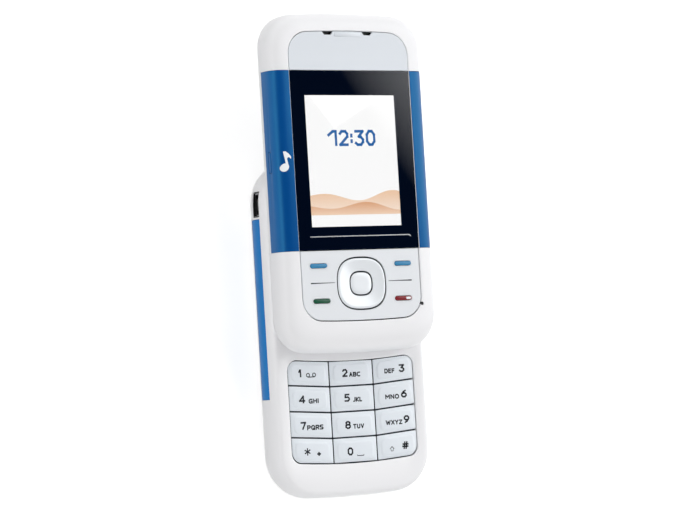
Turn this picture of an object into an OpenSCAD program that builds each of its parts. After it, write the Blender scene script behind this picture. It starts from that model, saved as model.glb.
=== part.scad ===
// Slider phone, shown open and lying on its back. +X is right, +Y is the top of the phone, +Z faces
// the person using it. The origin is under the middle of the open phone, on the surface it rests on.

/* [Body] */
// Length of each half
body_l = 92.4; // [90:0.2:97]
// Width of both halves
body_w = 48.5; // [47.5:0.5:54]
// Thickness of the sliding half
slide_t = 8.1; // [8:0.1:9.5]
// Thickness of the base half
base_t = 12.3; // [12.2:0.1:14]
// Air between the two halves
half_gap = 0.3; // [0.2:0.05:0.5]
// How far the sliding half travels
travel = 39; // [37:0.5:41]
// Moulded wall of the base half
wall = 1.4; // [1.2:0.1:1.6]
// Moulded wall of the sliding half
slide_wall = 2; // [1.8:0.1:2.2]

/* [Outline and edges] */
// Corner radius of the base half, seen from the front
base_corner_r = 11.5; // [10:0.5:12]
// Corner radius of the sliding half, seen from the front
slide_corner_r = 9; // [8.5:0.5:10]
// Radius of the shallow arc across each end
end_r = 300; // [200:10:500]
// Height of the base half's widest line
base_wide_z = 7; // [6.4:0.1:7.4]
// How far the base half's front edge rolls in
base_front_roll = 2; // [1.6:0.1:2.6]
// How far the base half's back edge rolls in
base_back_roll = 5; // [4:0.1:5.6]
// Squareness of the base half's front edge, where 2 is round
base_front_square = 2.8; // [2.2:0.1:3.2]
// Squareness of the base half's back edge
base_back_square = 1.9; // [1.7:0.1:2.4]
// Height of the sliding half's widest line above its underside
slide_wide_z = 2.4; // [2:0.1:3]
// How far the sliding half's underside edge tucks in
slide_back_roll = 1.2; // [0.8:0.1:1.6]
// Squareness of the sliding half's edges, where 2 is round
slide_square = 3; // [2:0.1:3.4]
// Height of the seam between the front cover and the rear shell
front_seam_z = 9.1; // [8.9:0.1:9.4]
// Height of the seam between the rear shell and the battery cover
back_seam_z = 3.6; // [3.2:0.1:3.9]

/* [Front panels] */
// Coloured or white band beside the panels on the sliding half's face
side_margin = 5.3; // [5:0.1:5.8]
// White band above the earpiece panel
top_band = 5.2; // [4:0.1:7]
// Height of the earpiece panel
ear_h = 10.85; // [9:0.05:13]
// Height of the window
window_h = 48.7; // [46:0.1:50]
// Height of the function panel
func_h = 19.35; // [19:0.05:21]
// Corner radius of the panels
panel_corner_r = 6.2; // [5:0.1:7.5]
// Gap line round the function panel and the earpiece panel
panel_gap = 0.3; // [0.2:0.02:0.36]
// Thickness of the function panel and the earpiece panel
panel_t = 0.6; // [0.5:0.05:0.7]
// How deep the function panel lies below the face
panel_sink = 0.17; // [0.05:0.01:0.3]
// White land left round the panels
land = 0.3; // [0.2:0.05:0.5]
// Thickness of the window
window_t = 1; // [0.8:0.1:1.1]
// Thickness of the black frame behind the window
frame_t = 0.5; // [0.4:0.05:0.6]
// Black margin at each side of the picture area
display_side = 4.67; // [4:0.01:5.4]
// Height of the picture area
display_h = 35.7; // [34:0.1:37]
// Black margin above the picture area
display_margin = 6.64; // [5:0.01:8]
// Thickness of the coloured side panels
side_panel_t = 0.9; // [0.7:0.1:1]
// Distance from the face's centre line to the side panels' inner edge, past the window's
side_panel_in = 0.1; // [0.05:0.05:0.2]

/* [Keypad] */
// Frame beside the keypad
pad_margin = 4.15; // [4.05:0.05:4.5]
// Difference in width between the middle column and an outer one
mid_col_extra = 0.75; // [0:0.05:1]
// Height of a row
row_pitch = 7; // [6.4:0.1:7.2]
// Dark gap between keys
key_gap = 0.42; // [0.3:0.02:0.5]
// Dark gap round the whole keypad
pad_gap = 0.3; // [0.2:0.02:0.4]
// Radius of the arc that the rows follow
row_r = 183; // [120:1:400]
// Corner radius of the keypad
pad_corner_r = 3; // [2:0.1:4]
// Distance from the sliding half, when open, to the keypad
pad_drop = 2.03; // [1.5:0.01:3]
// Thickness of a key's tile
key_t = 1.05; // [0.9:0.05:1.1]
// Height of the raised pillow on a key
pillow_h = 0.25; // [0.15:0.01:0.3]
// Margin between a key's edge and its pillow
pillow_in = 1; // [0.8:0.1:1.4]
// How far a key travels
key_travel = 0.3; // [0.2:0.05:0.35]

/* [Function keys] */
// Length of a function key's bar
bar_l = 5.2; // [4:0.1:6]
// Width of a function key's bar
bar_w = 1.16; // [1:0.02:1.5]
// How far a bar stands above the function panel
bar_proud = 0.42; // [0.2:0.02:0.6]
// Clearance round a bar in its slot
bar_fit = 0.1; // [0.08:0.01:0.15]
// Distance from the function panel's side in to the middle of the soft keys
soft_in = 5.65; // [5:0.05:6.2]
// Distance from the function panel's side in to the middle of the send and end keys
call_in = 6.05; // [5:0.05:6.4]
// Distance from the window down to the soft keys
soft_drop = 4.1; // [3.6:0.1:4.6]
// Distance from the window down to the send and end keys
call_drop = 13.6; // [13:0.1:14]
// Distance from the window down to the centre of the navigation ring
nav_drop = 9.15; // [8.8:0.05:9.5]
// Half width of the navigation ring's opening
nav_rx = 7.86; // [7:0.01:8.5]
// Half height of the navigation ring's opening
nav_ry = 7.26; // [7:0.01:7.6]
// Clearance round the navigation ring and the centre key
nav_fit = 0.42; // [0.3:0.01:0.46]
// Half width of the centre key
centre_rx = 3.27; // [2.8:0.01:3.6]
// Half height of the centre key
centre_ry = 2.98; // [2.6:0.01:3.4]
// Squareness of the ring's outline, where 2 is an ellipse
nav_square = 2.7; // [2.2:0.1:3.2]

/* [Slide mechanism] */
// Length of the T rails on the base half
rail_l = 32; // [28:0.5:34]
// Distance from the base half's top edge to the rails
rail_end = 6.7; // [6.2:0.1:8]
// Distance from the side of the body in to each rail
rail_in = 8.75; // [8.3:0.05:9.5]
// Width of a rail's neck
rail_neck = 1.4; // [1:0.1:1.8]
// Width of a rail's head
rail_head = 3.4; // [2.8:0.1:3.8]
// Thickness of a rail's head
rail_head_t = 0.6; // [0.5:0.05:0.8]
// Running clearance between the rails and the slotted plate
rail_fit = 0.12; // [0.08:0.01:0.2]
// Thickness of the slotted plate in the sliding half
slide_plate_t = 0.5; // [0.4:0.05:0.6]
// Thickness of the rail plate in the base half
base_plate_t = 0.6; // [0.5:0.05:0.7]
// Margin of plate round the slots and the rails
plate_margin = 3; // [2.6:0.1:3.2]

/* [Sides] */
// Length of the side strips
strip_l = 48.9; // [40:0.1:49]
// Depth of the side strips
strip_t = 0.8; // [0.6:0.05:0.9]
// Distance from the base half's top edge to the left strip
strip_drop = 16.05; // [15.8:0.05:18]
// How deep the strips lie below the side's surface
strip_sink = 0.12; // [0:0.02:0.2]
// Length of the data socket's shell
socket_l = 6.9; // [6:0.1:7.2]
// Height of the data socket's shell
socket_h = 3.4; // [3:0.1:3.6]
// Depth of the data socket
socket_d = 6.2; // [5:0.1:7]
// Distance from the base half's top edge to the data socket
socket_drop = 8.6; // [8.4:0.05:9]
// Length of the volume rocker
rocker_l = 13.5; // [11:0.1:14.5]
// Height of the volume rocker
rocker_h = 2.2; // [1.8:0.1:2.6]
// Length of the music key
music_l = 5.6; // [4.5:0.1:6.5]
// Width of the music key
music_w = 1; // [0.8:0.05:1.3]
// Distance from the window's bottom up to the centre of the music key
music_rise = 24.1; // [20:0.1:30]

/* [Inside] */
// Body beside the battery
battery_margin = 7.25; // [6.8:0.05:8]
// Length of the battery
battery_l = 50; // [46:0.5:51]
// Thickness of the battery
battery_t = 4.3; // [4:0.1:4.4]
// Thickness of a circuit board
board_t = 0.8; // [0.6:0.1:0.9]
// Shank radius of a screw
screw_r = 0.7; // [0.5:0.05:0.8]
// Clearance of a piece in its pocket
seat_fit = 0.1; // [0.05:0.01:0.15]
// How far the battery cover slides off its ribs
cover_travel = 8; // [5:0.5:9]

/* [Hidden] */

$fn = 32;
e = 0.01; // overshoot of a cut past a face
white = [0.93, 0.93, 0.94];
silver = [0.86, 0.88, 0.91];
blue = [0.05, 0.33, 0.62];
black = [0.05, 0.05, 0.07];
steel = [0.72, 0.73, 0.75];
board_green = [0.1, 0.35, 0.2];
pale_rubber = [0.8, 0.82, 0.84];

// Places of the two halves in the open phone
base_y = -travel / 2;
slide_y = travel / 2;
slide_z = base_t + half_gap;
base_top = body_l / 2; // top edge, from the base half's own centre

// Zones of the sliding half's face, measured from its own centre
field_y1 = body_l / 2 - top_band;
window_y1 = field_y1 - ear_h;
window_y0 = window_y1 - window_h;
field_y0 = window_y0 - func_h;
chin = field_y0 + body_l / 2;
field_hw = body_w / 2 - side_margin;
display_w = 2 * (field_hw - display_side);
panel_seam = 0.06;

// Heights in the sliding half, above its underside
back_cover_t = 1;
window_z = slide_t - window_t;
frame_z = window_z - frame_t;
rim_z = slide_t - slide_wall;
chassis_t = 0.7;
chassis_z = rim_z - chassis_t - 0.2; // clear of the cover's rounded inside
slide_board_z = 3.2;
display_z = slide_board_z + board_t;
panel_z = slide_t - panel_sink - panel_t;
ear_z = slide_t - panel_t;

// Heights in the base half
ceiling_z = base_t - wall;
key_top_z = base_t - 0.05 - pillow_h;
key_z = key_top_z - key_t;
mat_top_z = key_z - key_travel - 0.05;
board_top_z = front_seam_z;
dome_sheet_t = 0.1;
dome_h = 0.3;
mat_z = board_top_z + dome_sheet_t + dome_h + 0.05;
floor_t = 0.8;
floor_z = board_top_z - board_t - 0.8 - floor_t;
cover_floor_t = 1.2;
back_wall = 1.8; // wall of the rear shell behind the strips

// Battery bay and battery cover, measured from the base half's own centre
battery_w = body_w - 2 * battery_margin;
cover_top_y = 23.5;
bay_y1 = cover_top_y - 6;
bay_y0 = bay_y1 - battery_l - 2 * seat_fit;
bay_hw = battery_w / 2 + 0.3;
battery_z = cover_floor_t + 0.3;

// Keypad, measured from the base half's own centre
pad_y1 = -body_l / 2 + travel - pad_drop;
pad_y0 = pad_y1 - 4 * row_pitch;
pad_hw = body_w / 2 - pad_margin;
mid_col_hw = pad_hw / 3 + mid_col_extra / 3;

// Slide mechanism
rail_x = body_w / 2 - rail_in;
rail_y1 = base_top - rail_end;
rail_y0 = rail_y1 - rail_l;
slot_y0 = rail_y0 - travel - rail_fit;
slot_y1 = rail_y1 + rail_fit;
plate_hw = rail_x + plate_margin;
rail_head_z = slide_z + slide_plate_t + rail_fit;

// Navigation ring and its keys, measured from the sliding half's own centre
nav_y = window_y0 - nav_drop;
nav_ring_z = panel_z - 0.83;
nav_flange_t = 0.3;
nav_plate_z = nav_ring_z - 0.5;
nav_plate_t = 0.25;
nav_plate_r = min(nav_rx, nav_ry) - 2;
nav_mat_z = nav_plate_z - key_travel;
mat_flange_gap = key_travel + 0.1;
flange_t = 0.6;
flange_z = panel_z - 0.1 - flange_t;
func_mat_z = flange_z - mat_flange_gap;

module at_base() {
    translate([0, base_y, 0])
        children();
}

module at_slide() {
    translate([0, slide_y, slide_z])
        children();
}

module both_sides() {
    children();
    mirror([1, 0, 0])
        children();
}

// ---- Outlines: four corner arcs joined by a shallow arc across each end ----

corner_steps = 7;
end_steps = 4;

function arc(c, r, a0, a1, n) =
    [for (i = [0:n]) let (a = a0 + (a1 - a0) * i / n) c + r * [cos(a), sin(a)]];
function inner(points) = [for (i = [1:len(points) - 2]) points[i]];
function corner_turn(hw, r) = asin((hw - r) / (end_r - r));
function corner_in(hw, r) = end_r - (end_r - r) * cos(corner_turn(hw, r));

function outline(hw, y0, y1, r0, r1) =
    let (t0 = corner_turn(hw, r0), t1 = corner_turn(hw, r1))
    let (c0 = y0 + corner_in(hw, r0), c1 = y1 - corner_in(hw, r1))
    concat(
        arc([hw - r0, c0], r0, t0 - 90, 0, corner_steps),
        arc([hw - r1, c1], r1, 0, 90 - t1, corner_steps),
        inner(arc([0, y1 - end_r], end_r, 90 - t1, 90 + t1, end_steps)),
        arc([r1 - hw, c1], r1, 90 + t1, 180, corner_steps),
        arc([r0 - hw, c0], r0, 180, 270 - t0, corner_steps),
        inner(arc([0, y0 + end_r], end_r, 270 - t0, 270 + t0, end_steps)));

function squircle(rx, ry, n) =
    [for (i = [0:n - 1]) let (a = 360 * i / n, c = cos(a), s = sin(a), p = 2 / nav_square)
        [rx * sign(c) * pow(abs(c), p), ry * sign(s) * pow(abs(s), p)]];

function lift(points, z) = [for (p = points) [p[0], p[1], z]];

// Solid through a stack of rings that each have the same number of points, lowest ring first
module loft(rings) {
    n = len(rings[0]);
    m = len(rings);
    polyhedron(
        points = [for (r = rings) each r],
        faces = concat(
            [[for (j = [0:n - 1]) j]],
            [for (i = [0:m - 2], j = [0:n - 1]) [i * n + j, (i + 1) * n + j, (i + 1) * n + (j + 1) % n]],
            [for (i = [0:m - 2], j = [0:n - 1]) [i * n + j, (i + 1) * n + (j + 1) % n, i * n + (j + 1) % n]],
            [[for (j = [0:n - 1]) (m - 1) * n + n - 1 - j]]));
}

// Share of an edge's roll at a share u of its height: 0 at the widest line, 1 at the face
function edge(u, square) = 1 - pow(max(0, 1 - pow(u, square)), 1 / square);

// Heights of the rings between two levels of an edge, closer together where it curves more
edge_steps = 5;
function edge_levels(wide_z, face_z, square) =
    [for (i = [0:edge_steps]) wide_z + (face_z - wide_z) * pow(sin(90 * i / edge_steps), 2 / square)];
function between(levels, z0, z1) =
    concat([z0], [for (z = levels) if (z > z0 + 0.08 && z < z1 - 0.08) z], [z1]);
function reversed(list) = [for (i = [len(list) - 1:-1:0]) list[i]];

// ---- Outer form of the base half, measured from its own centre ----

corner_follow = 0.75; // share of an inset by which the corner radius shrinks

base_levels = concat(
    reversed(edge_levels(base_wide_z, 0, base_back_square)),
    inner(concat([0], edge_levels(base_wide_z, base_t, base_front_square))),
    [base_t]);

// Share of an inset form's height above the widest line that is left when its wall is d thick
function base_share(d) = 1 - d / (base_t - base_wide_z);
function base_roll(z) = z >= base_wide_z
    ? base_front_roll * edge(min(1, (z - base_wide_z) / (base_t - base_wide_z)), base_front_square)
    : base_back_roll * edge((base_wide_z - z) / base_wide_z, base_back_square);
function base_ring(z, d) =
    let (outer_z = z < base_wide_z ? z : base_wide_z + (z - base_wide_z) / base_share(d))
    let (i = base_roll(outer_z) + d, r = base_corner_r - i * corner_follow)
    lift(outline(body_w / 2 - i, i - base_top, base_top - i, r, r), z);

// The form from z0 to z1, inset by d at its sides and its front
module base_form(z0, z1, d) {
    squeeze = base_share(d);
    levels = [for (z = base_levels) z < base_wide_z ? z : base_wide_z + (z - base_wide_z) * squeeze];
    loft([for (z = between(levels, z0, z1)) base_ring(z, d)]);
}

// ---- Outer form of the sliding half, measured from its own centre and underside ----

slide_levels = concat([0, slide_wide_z / 3], edge_levels(slide_wide_z, slide_t, slide_square));
side_roll = body_w / 2 - field_hw - land;

function slide_share(d) = 1 - d / (slide_t - slide_wide_z);
function slide_tuck(z) = slide_back_roll * edge(max(0, (slide_wide_z - z) / slide_wide_z), slide_square);
function slide_ring(z, d) =
    let (rise = max(0, min(1, (z - slide_wide_z) / slide_share(d) / (slide_t - slide_wide_z))))
    let (f = edge(rise, slide_square), i = slide_tuck(z) + d)
    let (r = slide_corner_r - f * (slide_corner_r - panel_corner_r - land) - i * corner_follow)
    lift(outline(
            body_w / 2 - side_roll * f - i,
            (chin - land) * f + i - body_l / 2,
            body_l / 2 - (top_band - land) * f - i, r, r),
        z);

// The form from z0 to z1, inset by d at its sides and its front
module slide_form(z0, z1, d) {
    squeeze = slide_share(d);
    levels = [for (z = slide_levels) z < slide_wide_z ? z : slide_wide_z + (z - slide_wide_z) * squeeze];
    loft([for (z = between(levels, z0, z1)) slide_ring(z, d)]);
}

// The whole field of panels on the face, inset by d
module field(d) {
    polygon(outline(field_hw - d, field_y0 + d, field_y1 - d, panel_corner_r - d, panel_corner_r - d));
}

// One zone of that field, from y0 to y1
module zone(d, y0, y1) {
    intersection() {
        field(d);
        translate([-body_w / 2, y0])
            square([body_w, y1 - y0]);
    }
}

// ---- Base half: shells ----

strip_y1 = base_top - strip_drop;
strip_y0 = strip_y1 - strip_l;
socket_y = base_top - socket_drop - socket_l / 2;
rocker_y = strip_y1 - rocker_l / 2 - 2;
strip_fit = 0.05;

// Places of the base screws: two beside the battery bay, two in the bottom corners
base_screw_x = body_w / 2 - 4.35;
corner_screw_x = base_screw_x - 2.4;
corner_screw_y = 6 - base_top;
base_screw_spots = [
    [base_screw_x, cover_top_y - 3], [-base_screw_x, cover_top_y - 3],
    [corner_screw_x, corner_screw_y], [-corner_screw_x, corner_screw_y]];

// Outline of the whole keypad, inset by d
function row_rise(x) = row_r - sqrt(row_r * row_r - x * x);
pad_turn = asin((pad_hw - pad_corner_r) / row_r);
module pad_outline(d) {
    r = pad_corner_r - d;
    x = pad_hw - pad_corner_r;
    y0 = pad_y0 + row_rise(x) + pad_corner_r;
    y1 = pad_y1 + row_rise(x) - pad_corner_r;
    polygon(concat(
        arc([x, y0], r, pad_turn - 90, 0, 5),
        arc([x, y1], r, 0, 90 + pad_turn, 5),
        inner(arc([0, pad_y1 + row_r - d], row_r, 270 + pad_turn, 270 - pad_turn, 12)),
        arc([-x, y1], r, 90 - pad_turn, 180, 5),
        arc([-x, y0], r, 180, 270 - pad_turn, 5),
        inner(arc([0, pad_y0 + row_r + d], row_r, 270 - pad_turn, 270 + pad_turn, 12))));
}

plate_corner_r = 5;
module rail_plate_outline(d) {
    translate([plate_corner_r - plate_hw, rail_y0 - plate_margin + plate_corner_r])
        offset(r = plate_corner_r + d)
            square([2 * (plate_hw - plate_corner_r), rail_l + 2 * (plate_margin - plate_corner_r)]);
}

flex_w = 8;
flex_y0 = rail_y0 + 4;
flex_y1 = rail_y1 - 2;

module base_front_cover() {
    color(white)
    at_base()
        difference() {
            union() {
                difference() {
                    base_form(front_seam_z, base_t, 0);
                    base_form(front_seam_z - 1, ceiling_z, wall);
                }
                for (spot = base_screw_spots)
                    translate([spot[0], spot[1], floor_z + floor_t])
                        cylinder(r = screw_r + 0.9, h = ceiling_z + 0.3 - floor_z - floor_t);
            }
            translate([0, 0, front_seam_z])
                linear_extrude(base_t)
                    pad_outline(0);
            translate([0, 0, base_t - base_plate_t])
                linear_extrude(base_plate_t + 1)
                    rail_plate_outline(seat_fit);
            for (spot = base_screw_spots)
                translate([spot[0], spot[1], floor_z])
                    cylinder(r = screw_r + 0.02, h = 2.6 + floor_t);
            translate([-flex_w / 2 - 0.3, flex_y0 - 0.5, front_seam_z])
                cube([flex_w + 0.6, 1, base_t]);
        }
}

// Strip along the side, on the +X side
module side_strip() {
    intersection() {
        difference() {
            base_form(back_seam_z, front_seam_z, strip_sink);
            base_form(back_seam_z - 1, front_seam_z + 1, strip_t - strip_fit);
        }
        translate([body_w / 4, strip_y0 + strip_fit, back_seam_z])
            cube([body_w / 2, strip_l - 2 * strip_fit, front_seam_z - back_seam_z]);
    }
}

// Recess that the strip lies in
module side_recess() {
    difference() {
        translate([body_w / 4, strip_y0, back_seam_z - e])
            cube([body_w / 2, strip_l, front_seam_z - back_seam_z + 1]);
        base_form(back_seam_z - 1, front_seam_z + 2, strip_t);
    }
}

// Bar with round ends that points along +X, from x outwards, d larger than the volume rocker
module rocker_shape(d, x) {
    translate([x, rocker_y, rocker_z])
        rotate([90, 0, 90])
            linear_extrude(body_w / 2 - x + 1)
                rotate(90)
                    slot_shape(rocker_l + 2 * d, rocker_h + 2 * d);
}

module rear_shell() {
    color(white)
    at_base()
        difference() {
            base_form(0, front_seam_z, 0);
            // room for the battery cover
            translate([-body_w, -body_l, -1])
                cube([body_w * 2, body_l + cover_top_y, back_seam_z + 1]);
            // upper cavity, above the mid floor
            base_form(floor_z + floor_t, front_seam_z + 1, back_wall);
            // battery bay, open at the back
            translate([-bay_hw, bay_y0, 0])
                cube([2 * bay_hw, bay_y1 - bay_y0, floor_z]);
            // top cavity, behind the camera and the loudspeaker
            intersection() {
                base_form(back_wall, front_seam_z, back_wall);
                translate([-body_w / 2, cover_top_y + back_wall, 0])
                    cube([body_w, body_l, front_seam_z]);
            }
            // strips, rocker and socket in the sides
            both_sides()
                side_recess();
            rocker_shape(rocker_fit, volume_switch_x - 0.1);
            translate([-body_w / 2 - 1, socket_y - socket_l / 2 - 0.05, front_seam_z - socket_h - 0.05])
                cube([socket_d + 2, socket_l + 0.1, socket_h + 1]);
            // grooves for the battery cover's ribs
            both_sides()
                translate([rib_x - rib_fit, rib_y0 - cover_travel - rib_fit, back_seam_z - e])
                    cube([rib_w + 2 * rib_fit, rib_l + cover_travel + 2 * rib_fit, rib_h + rib_fit]);
            // screws from the back
            for (spot = base_screw_spots)
                translate([spot[0], spot[1], back_seam_z]) {
                    cylinder(r = screw_r + 0.1, h = 8);
                    translate([0, 0, -e])
                        cylinder(r = screw_head_r + 0.1, h = screw_head_t + 0.2);
                }
            // camera window and camera
            translate([0, camera_y, -1])
                cylinder(r = camera_r + 0.05, h = 1 + lens_sink + lens_t + 0.05);
            translate([0, camera_y, 0])
                cylinder(r = camera_r - 1, h = back_wall + 1);
            for (i = [-2:2])
                translate([speaker_x + i * sound_slot_pitch, camera_y, -1])
                    linear_extrude(back_wall + 2)
                        slot_shape(sound_slot_l, sound_slot_w);
        }
}

// Straight slot with round ends, l long in Y and w wide
module slot_shape(l, w) {
    square([w, l - w], center = true);
    for (s = [-1, 1])
        translate([0, s * (l - w) / 2])
            circle(d = w);
}

camera_y = cover_top_y + 11.5;
camera_r = 4.5;
speaker_w = 10;
speaker_l = 9;
speaker_h = 3.4;
speaker_rim = 1;
speaker_x = body_w / 2 - 6.65 - speaker_w / 2;
sound_slot_pitch = 2;
sound_slot_l = 6;
sound_slot_w = 0.8;
screw_head_r = 1.3;
screw_head_t = 0.7;
rib_w = 1;
rib_h = 1;
rib_fit = 0.3;
rib_l = battery_l * 0.6;
rib_x = bay_hw + 1.4;
rib_y0 = bay_y0 + battery_l * 0.24;

module battery_cover() {
    color(white)
    at_base() {
        difference() {
            intersection() {
                base_form(0, back_seam_z - 0.1, 0);
                translate([-body_w / 2, -body_l / 2, 0])
                    cube([body_w, body_l / 2 + cover_top_y - 0.1, base_t]);
            }
            base_form(cover_floor_t, back_seam_z + 1, wall + 0.2);
        }
        both_sides()
            translate([rib_x, rib_y0, cover_floor_t - 0.2])
                cube([rib_w, rib_l, back_seam_z + rib_h - cover_floor_t + 0.2]);
    }
}

module side_strip_left() {
    color(blue)
    at_base()
        mirror([1, 0, 0])
            side_strip();
}

module side_strip_right() {
    color(blue)
    at_base()
        difference() {
            side_strip();
            rocker_shape(rocker_fit, body_w / 4);
        }
}

rocker_z = (front_seam_z + back_seam_z) / 2;
rocker_fit = 0.15;
rocker_in = back_wall + 1.2;
volume_switch_l = 2.4;
volume_switch_x = body_w / 2 - rocker_in - 0.35 - volume_switch_l;

module volume_rocker() {
    color(blue)
    at_base()
        intersection() {
            base_form(back_seam_z, front_seam_z, 0);
            rocker_shape(0, body_w / 2 - rocker_in);
        }
}

// Two switches on the board's edge, one behind each end of the volume rocker
module volume_switch() {
    color(steel)
    at_base()
        for (s = [-1, 1])
            translate([volume_switch_x, rocker_y + s * rocker_l * 0.33 - 1.5, rocker_z - rocker_h * 0.35])
                cube([volume_switch_l, 3, rocker_h * 0.7]);
}

socket_sink = 0.1; // how deep the socket's mouth lies below the side's surface
socket_wall = 0.35;
tongue_t = 0.6;
tongue_in = 0.8;

module data_socket() {
    color(black)
    at_base()
        intersection() {
            base_form(front_seam_z - socket_h - 1, front_seam_z + 1, socket_sink);
            translate([-body_w / 2, socket_y, front_seam_z - socket_h / 2]) {
                difference() {
                    translate([0, -socket_l / 2, -socket_h / 2])
                        cube([socket_d, socket_l, socket_h]);
                    translate([-1, socket_wall - socket_l / 2, socket_wall - socket_h / 2])
                        cube([socket_d, socket_l - 2 * socket_wall, socket_h - 2 * socket_wall]);
                }
                translate([tongue_in, -socket_l / 5, -tongue_t / 2])
                    cube([socket_d - tongue_in - e, socket_l * 0.4, tongue_t]);
            }
        }
}

// ---- Base half: keypad ----

column_edges = [-pad_hw, -mid_col_hw, mid_col_hw, pad_hw];
key_band_fn = 240;

// Row number r as a band between two parallel arcs, shrunk by d on each side
module row_band(r, d) {
    intersection() {
        difference() {
            translate([0, pad_y1 - (r + 1) * row_pitch + row_r + d])
                circle(r = row_r, $fn = key_band_fn);
            translate([0, pad_y1 - r * row_pitch + row_r - d])
                circle(r = row_r, $fn = key_band_fn);
        }
        translate([-pad_hw, pad_y0 - 1])
            square([2 * pad_hw, 5 * row_pitch]);
    }
}

// Rounded rectangle, bent along the row's arc
function pillow_ring(hx, hy, r, cx, cy, z) =
    let (flat = concat(
        arc([hx - r, r - hy], r, -90, 0, 4), arc([hx - r, hy - r], r, 0, 90, 4),
        arc([r - hx, hy - r], r, 90, 180, 4), arc([r - hx, r - hy], r, 180, 270, 4)))
    [for (p = flat) [p[0] + cx, p[1] + cy + row_rise(p[0] + cx), z]];

module number_key(col, row) {
    x0 = column_edges[col] + key_gap / 2;
    x1 = column_edges[col + 1] - key_gap / 2;
    hx = (x1 - x0) / 2 - pillow_in;
    hy = (row_pitch - key_gap) / 2 - pillow_in * 0.75;
    cx = (x0 + x1) / 2;
    cy = pad_y1 - (row + 0.5) * row_pitch;
    color(silver)
    at_base() {
        translate([0, 0, key_z])
            linear_extrude(key_t)
                intersection() {
                    pad_outline(pad_gap);
                    row_band(row, key_gap / 2);
                    translate([x0, pad_y0 - 1])
                        square([x1 - x0, 5 * row_pitch]);
                }
        loft([
            pillow_ring(hx, hy, 1.5, cx, cy, key_top_z - 0.2),
            pillow_ring(hx, hy, 1.5, cx, cy, key_top_z),
            pillow_ring(hx - 0.25, hy - 0.25, 1.25, cx, cy, key_top_z + pillow_h * 0.7),
            pillow_ring(hx - 0.9, hy - 0.8, 0.8, cx, cy, key_top_z + pillow_h)]);
    }
}

module key_1() { number_key(0, 0); }
module key_2() { number_key(1, 0); }
module key_3() { number_key(2, 0); }
module key_4() { number_key(0, 1); }
module key_5() { number_key(1, 1); }
module key_6() { number_key(2, 1); }
module key_7() { number_key(0, 2); }
module key_8() { number_key(1, 2); }
module key_9() { number_key(2, 2); }
module key_star() { number_key(0, 3); }
module key_0() { number_key(1, 3); }
module key_hash() { number_key(2, 3); }

// Centre of a key, measured from the base half's own centre
function key_spot(col, row) =
    let (x = (column_edges[col] + column_edges[col + 1]) / 2)
    [x, pad_y1 - (row + 0.5) * row_pitch + row_rise(x)];

module keypad_sheet(d) {
    translate([-pad_hw - d, pad_y0 - d])
        square([2 * (pad_hw + d), pad_y1 + row_rise(pad_hw) - pad_y0 + 2 * d]);
}

module dome_sheet() {
    color(steel)
    at_base() {
        translate([0, 0, board_top_z])
            linear_extrude(dome_sheet_t)
                keypad_sheet(0.3);
        for (col = [0:2], row = [0:3])
            translate(concat(key_spot(col, row), [board_top_z + dome_sheet_t - 0.02]))
                cylinder(r1 = 2.2, r2 = 1.2, h = dome_h + 0.02);
    }
}

module keypad_mat() {
    color(pale_rubber)
    at_base()
        translate([0, 0, mat_z])
            linear_extrude(mat_top_z - mat_z)
                keypad_sheet(0.4);
}

// ---- Base half: inside ----

board_hw = body_w / 2 - back_wall - 1.2;
board_y0 = pad_y0 - 1.2;
board_y1 = base_top - back_wall - 1;
board_corner = 8;

module main_board() {
    color(board_green)
    at_base()
        difference() {
            translate([0, 0, board_top_z - board_t])
                linear_extrude(board_t)
                    polygon(outline(board_hw, board_y0, board_y1, board_corner, board_corner));
            translate([-body_w / 2, socket_y - socket_l / 2 - 0.3, floor_z])
                cube([socket_d + 0.5, socket_l + 0.6, base_t]);
            for (spot = base_screw_spots)
                translate([spot[0], spot[1], floor_z])
                    cylinder(r = screw_r + 1.2, h = base_t);
        }
}

shield_t = 0.3;
shield_hw = battery_w / 2 - 4;
shield_l = battery_l * 0.64;

// Can that screens the circuits, open towards the board
module shield_can() {
    color(steel)
    at_base()
        translate([0, (bay_y0 + bay_y1) / 2, floor_z + floor_t])
            difference() {
                translate([-shield_hw, -shield_l / 2, 0])
                    cube([2 * shield_hw, shield_l, board_top_z - board_t - floor_z - floor_t]);
                translate([shield_t - shield_hw, shield_t - shield_l / 2, shield_t])
                    cube([2 * (shield_hw - shield_t), shield_l - 2 * shield_t, base_t]);
            }
}

module battery() {
    color(black)
    at_base()
        translate([-battery_w / 2, bay_y0 + seat_fit, battery_z])
            cube([battery_w, battery_l, battery_t]);
}

sim_w = 16;
sim_l = 14;
sim_in = 2;
sim_rim = 2;
sim_slot_t = 0.3;

module sim_holder() {
    color(steel)
    at_base()
        translate([-sim_w / 2, bay_y1 - sim_l - sim_in, battery_z + battery_t])
            difference() {
                cube([sim_w, sim_l, floor_z - battery_z - battery_t]);
                translate([sim_rim, sim_rim, -e])
                    cube([sim_w - 2 * sim_rim, sim_l - 2 * sim_rim, sim_slot_t]);
            }
}

camera_w = 8.5;
camera_h = 4.5;
lens_t = 0.8;
lens_sink = 0.15;

module camera_window() {
    color(black)
    at_base()
        translate([0, camera_y, lens_sink])
            cylinder(r = camera_r, h = lens_t);
}

module camera_module() {
    color(black)
    at_base()
        translate([0, camera_y, back_wall + 0.05]) {
            translate([-camera_w / 2, -camera_w / 2, 0])
                cube([camera_w, camera_w, camera_h]);
            translate([0, 0, lens_t + lens_sink + seat_fit - back_wall - 0.05])
                cylinder(r = camera_r - 1.3, h = back_wall);
        }
}

module loudspeaker() {
    color(black)
    at_base()
        translate([speaker_x - speaker_w / 2, camera_y - speaker_l / 2, back_wall + 0.05])
            difference() {
                cube([speaker_w, speaker_l, speaker_h]);
                translate([speaker_rim, speaker_rim, -e])
                    cube([speaker_w - 2 * speaker_rim, speaker_l - 2 * speaker_rim, 0.4]);
            }
}

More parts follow.
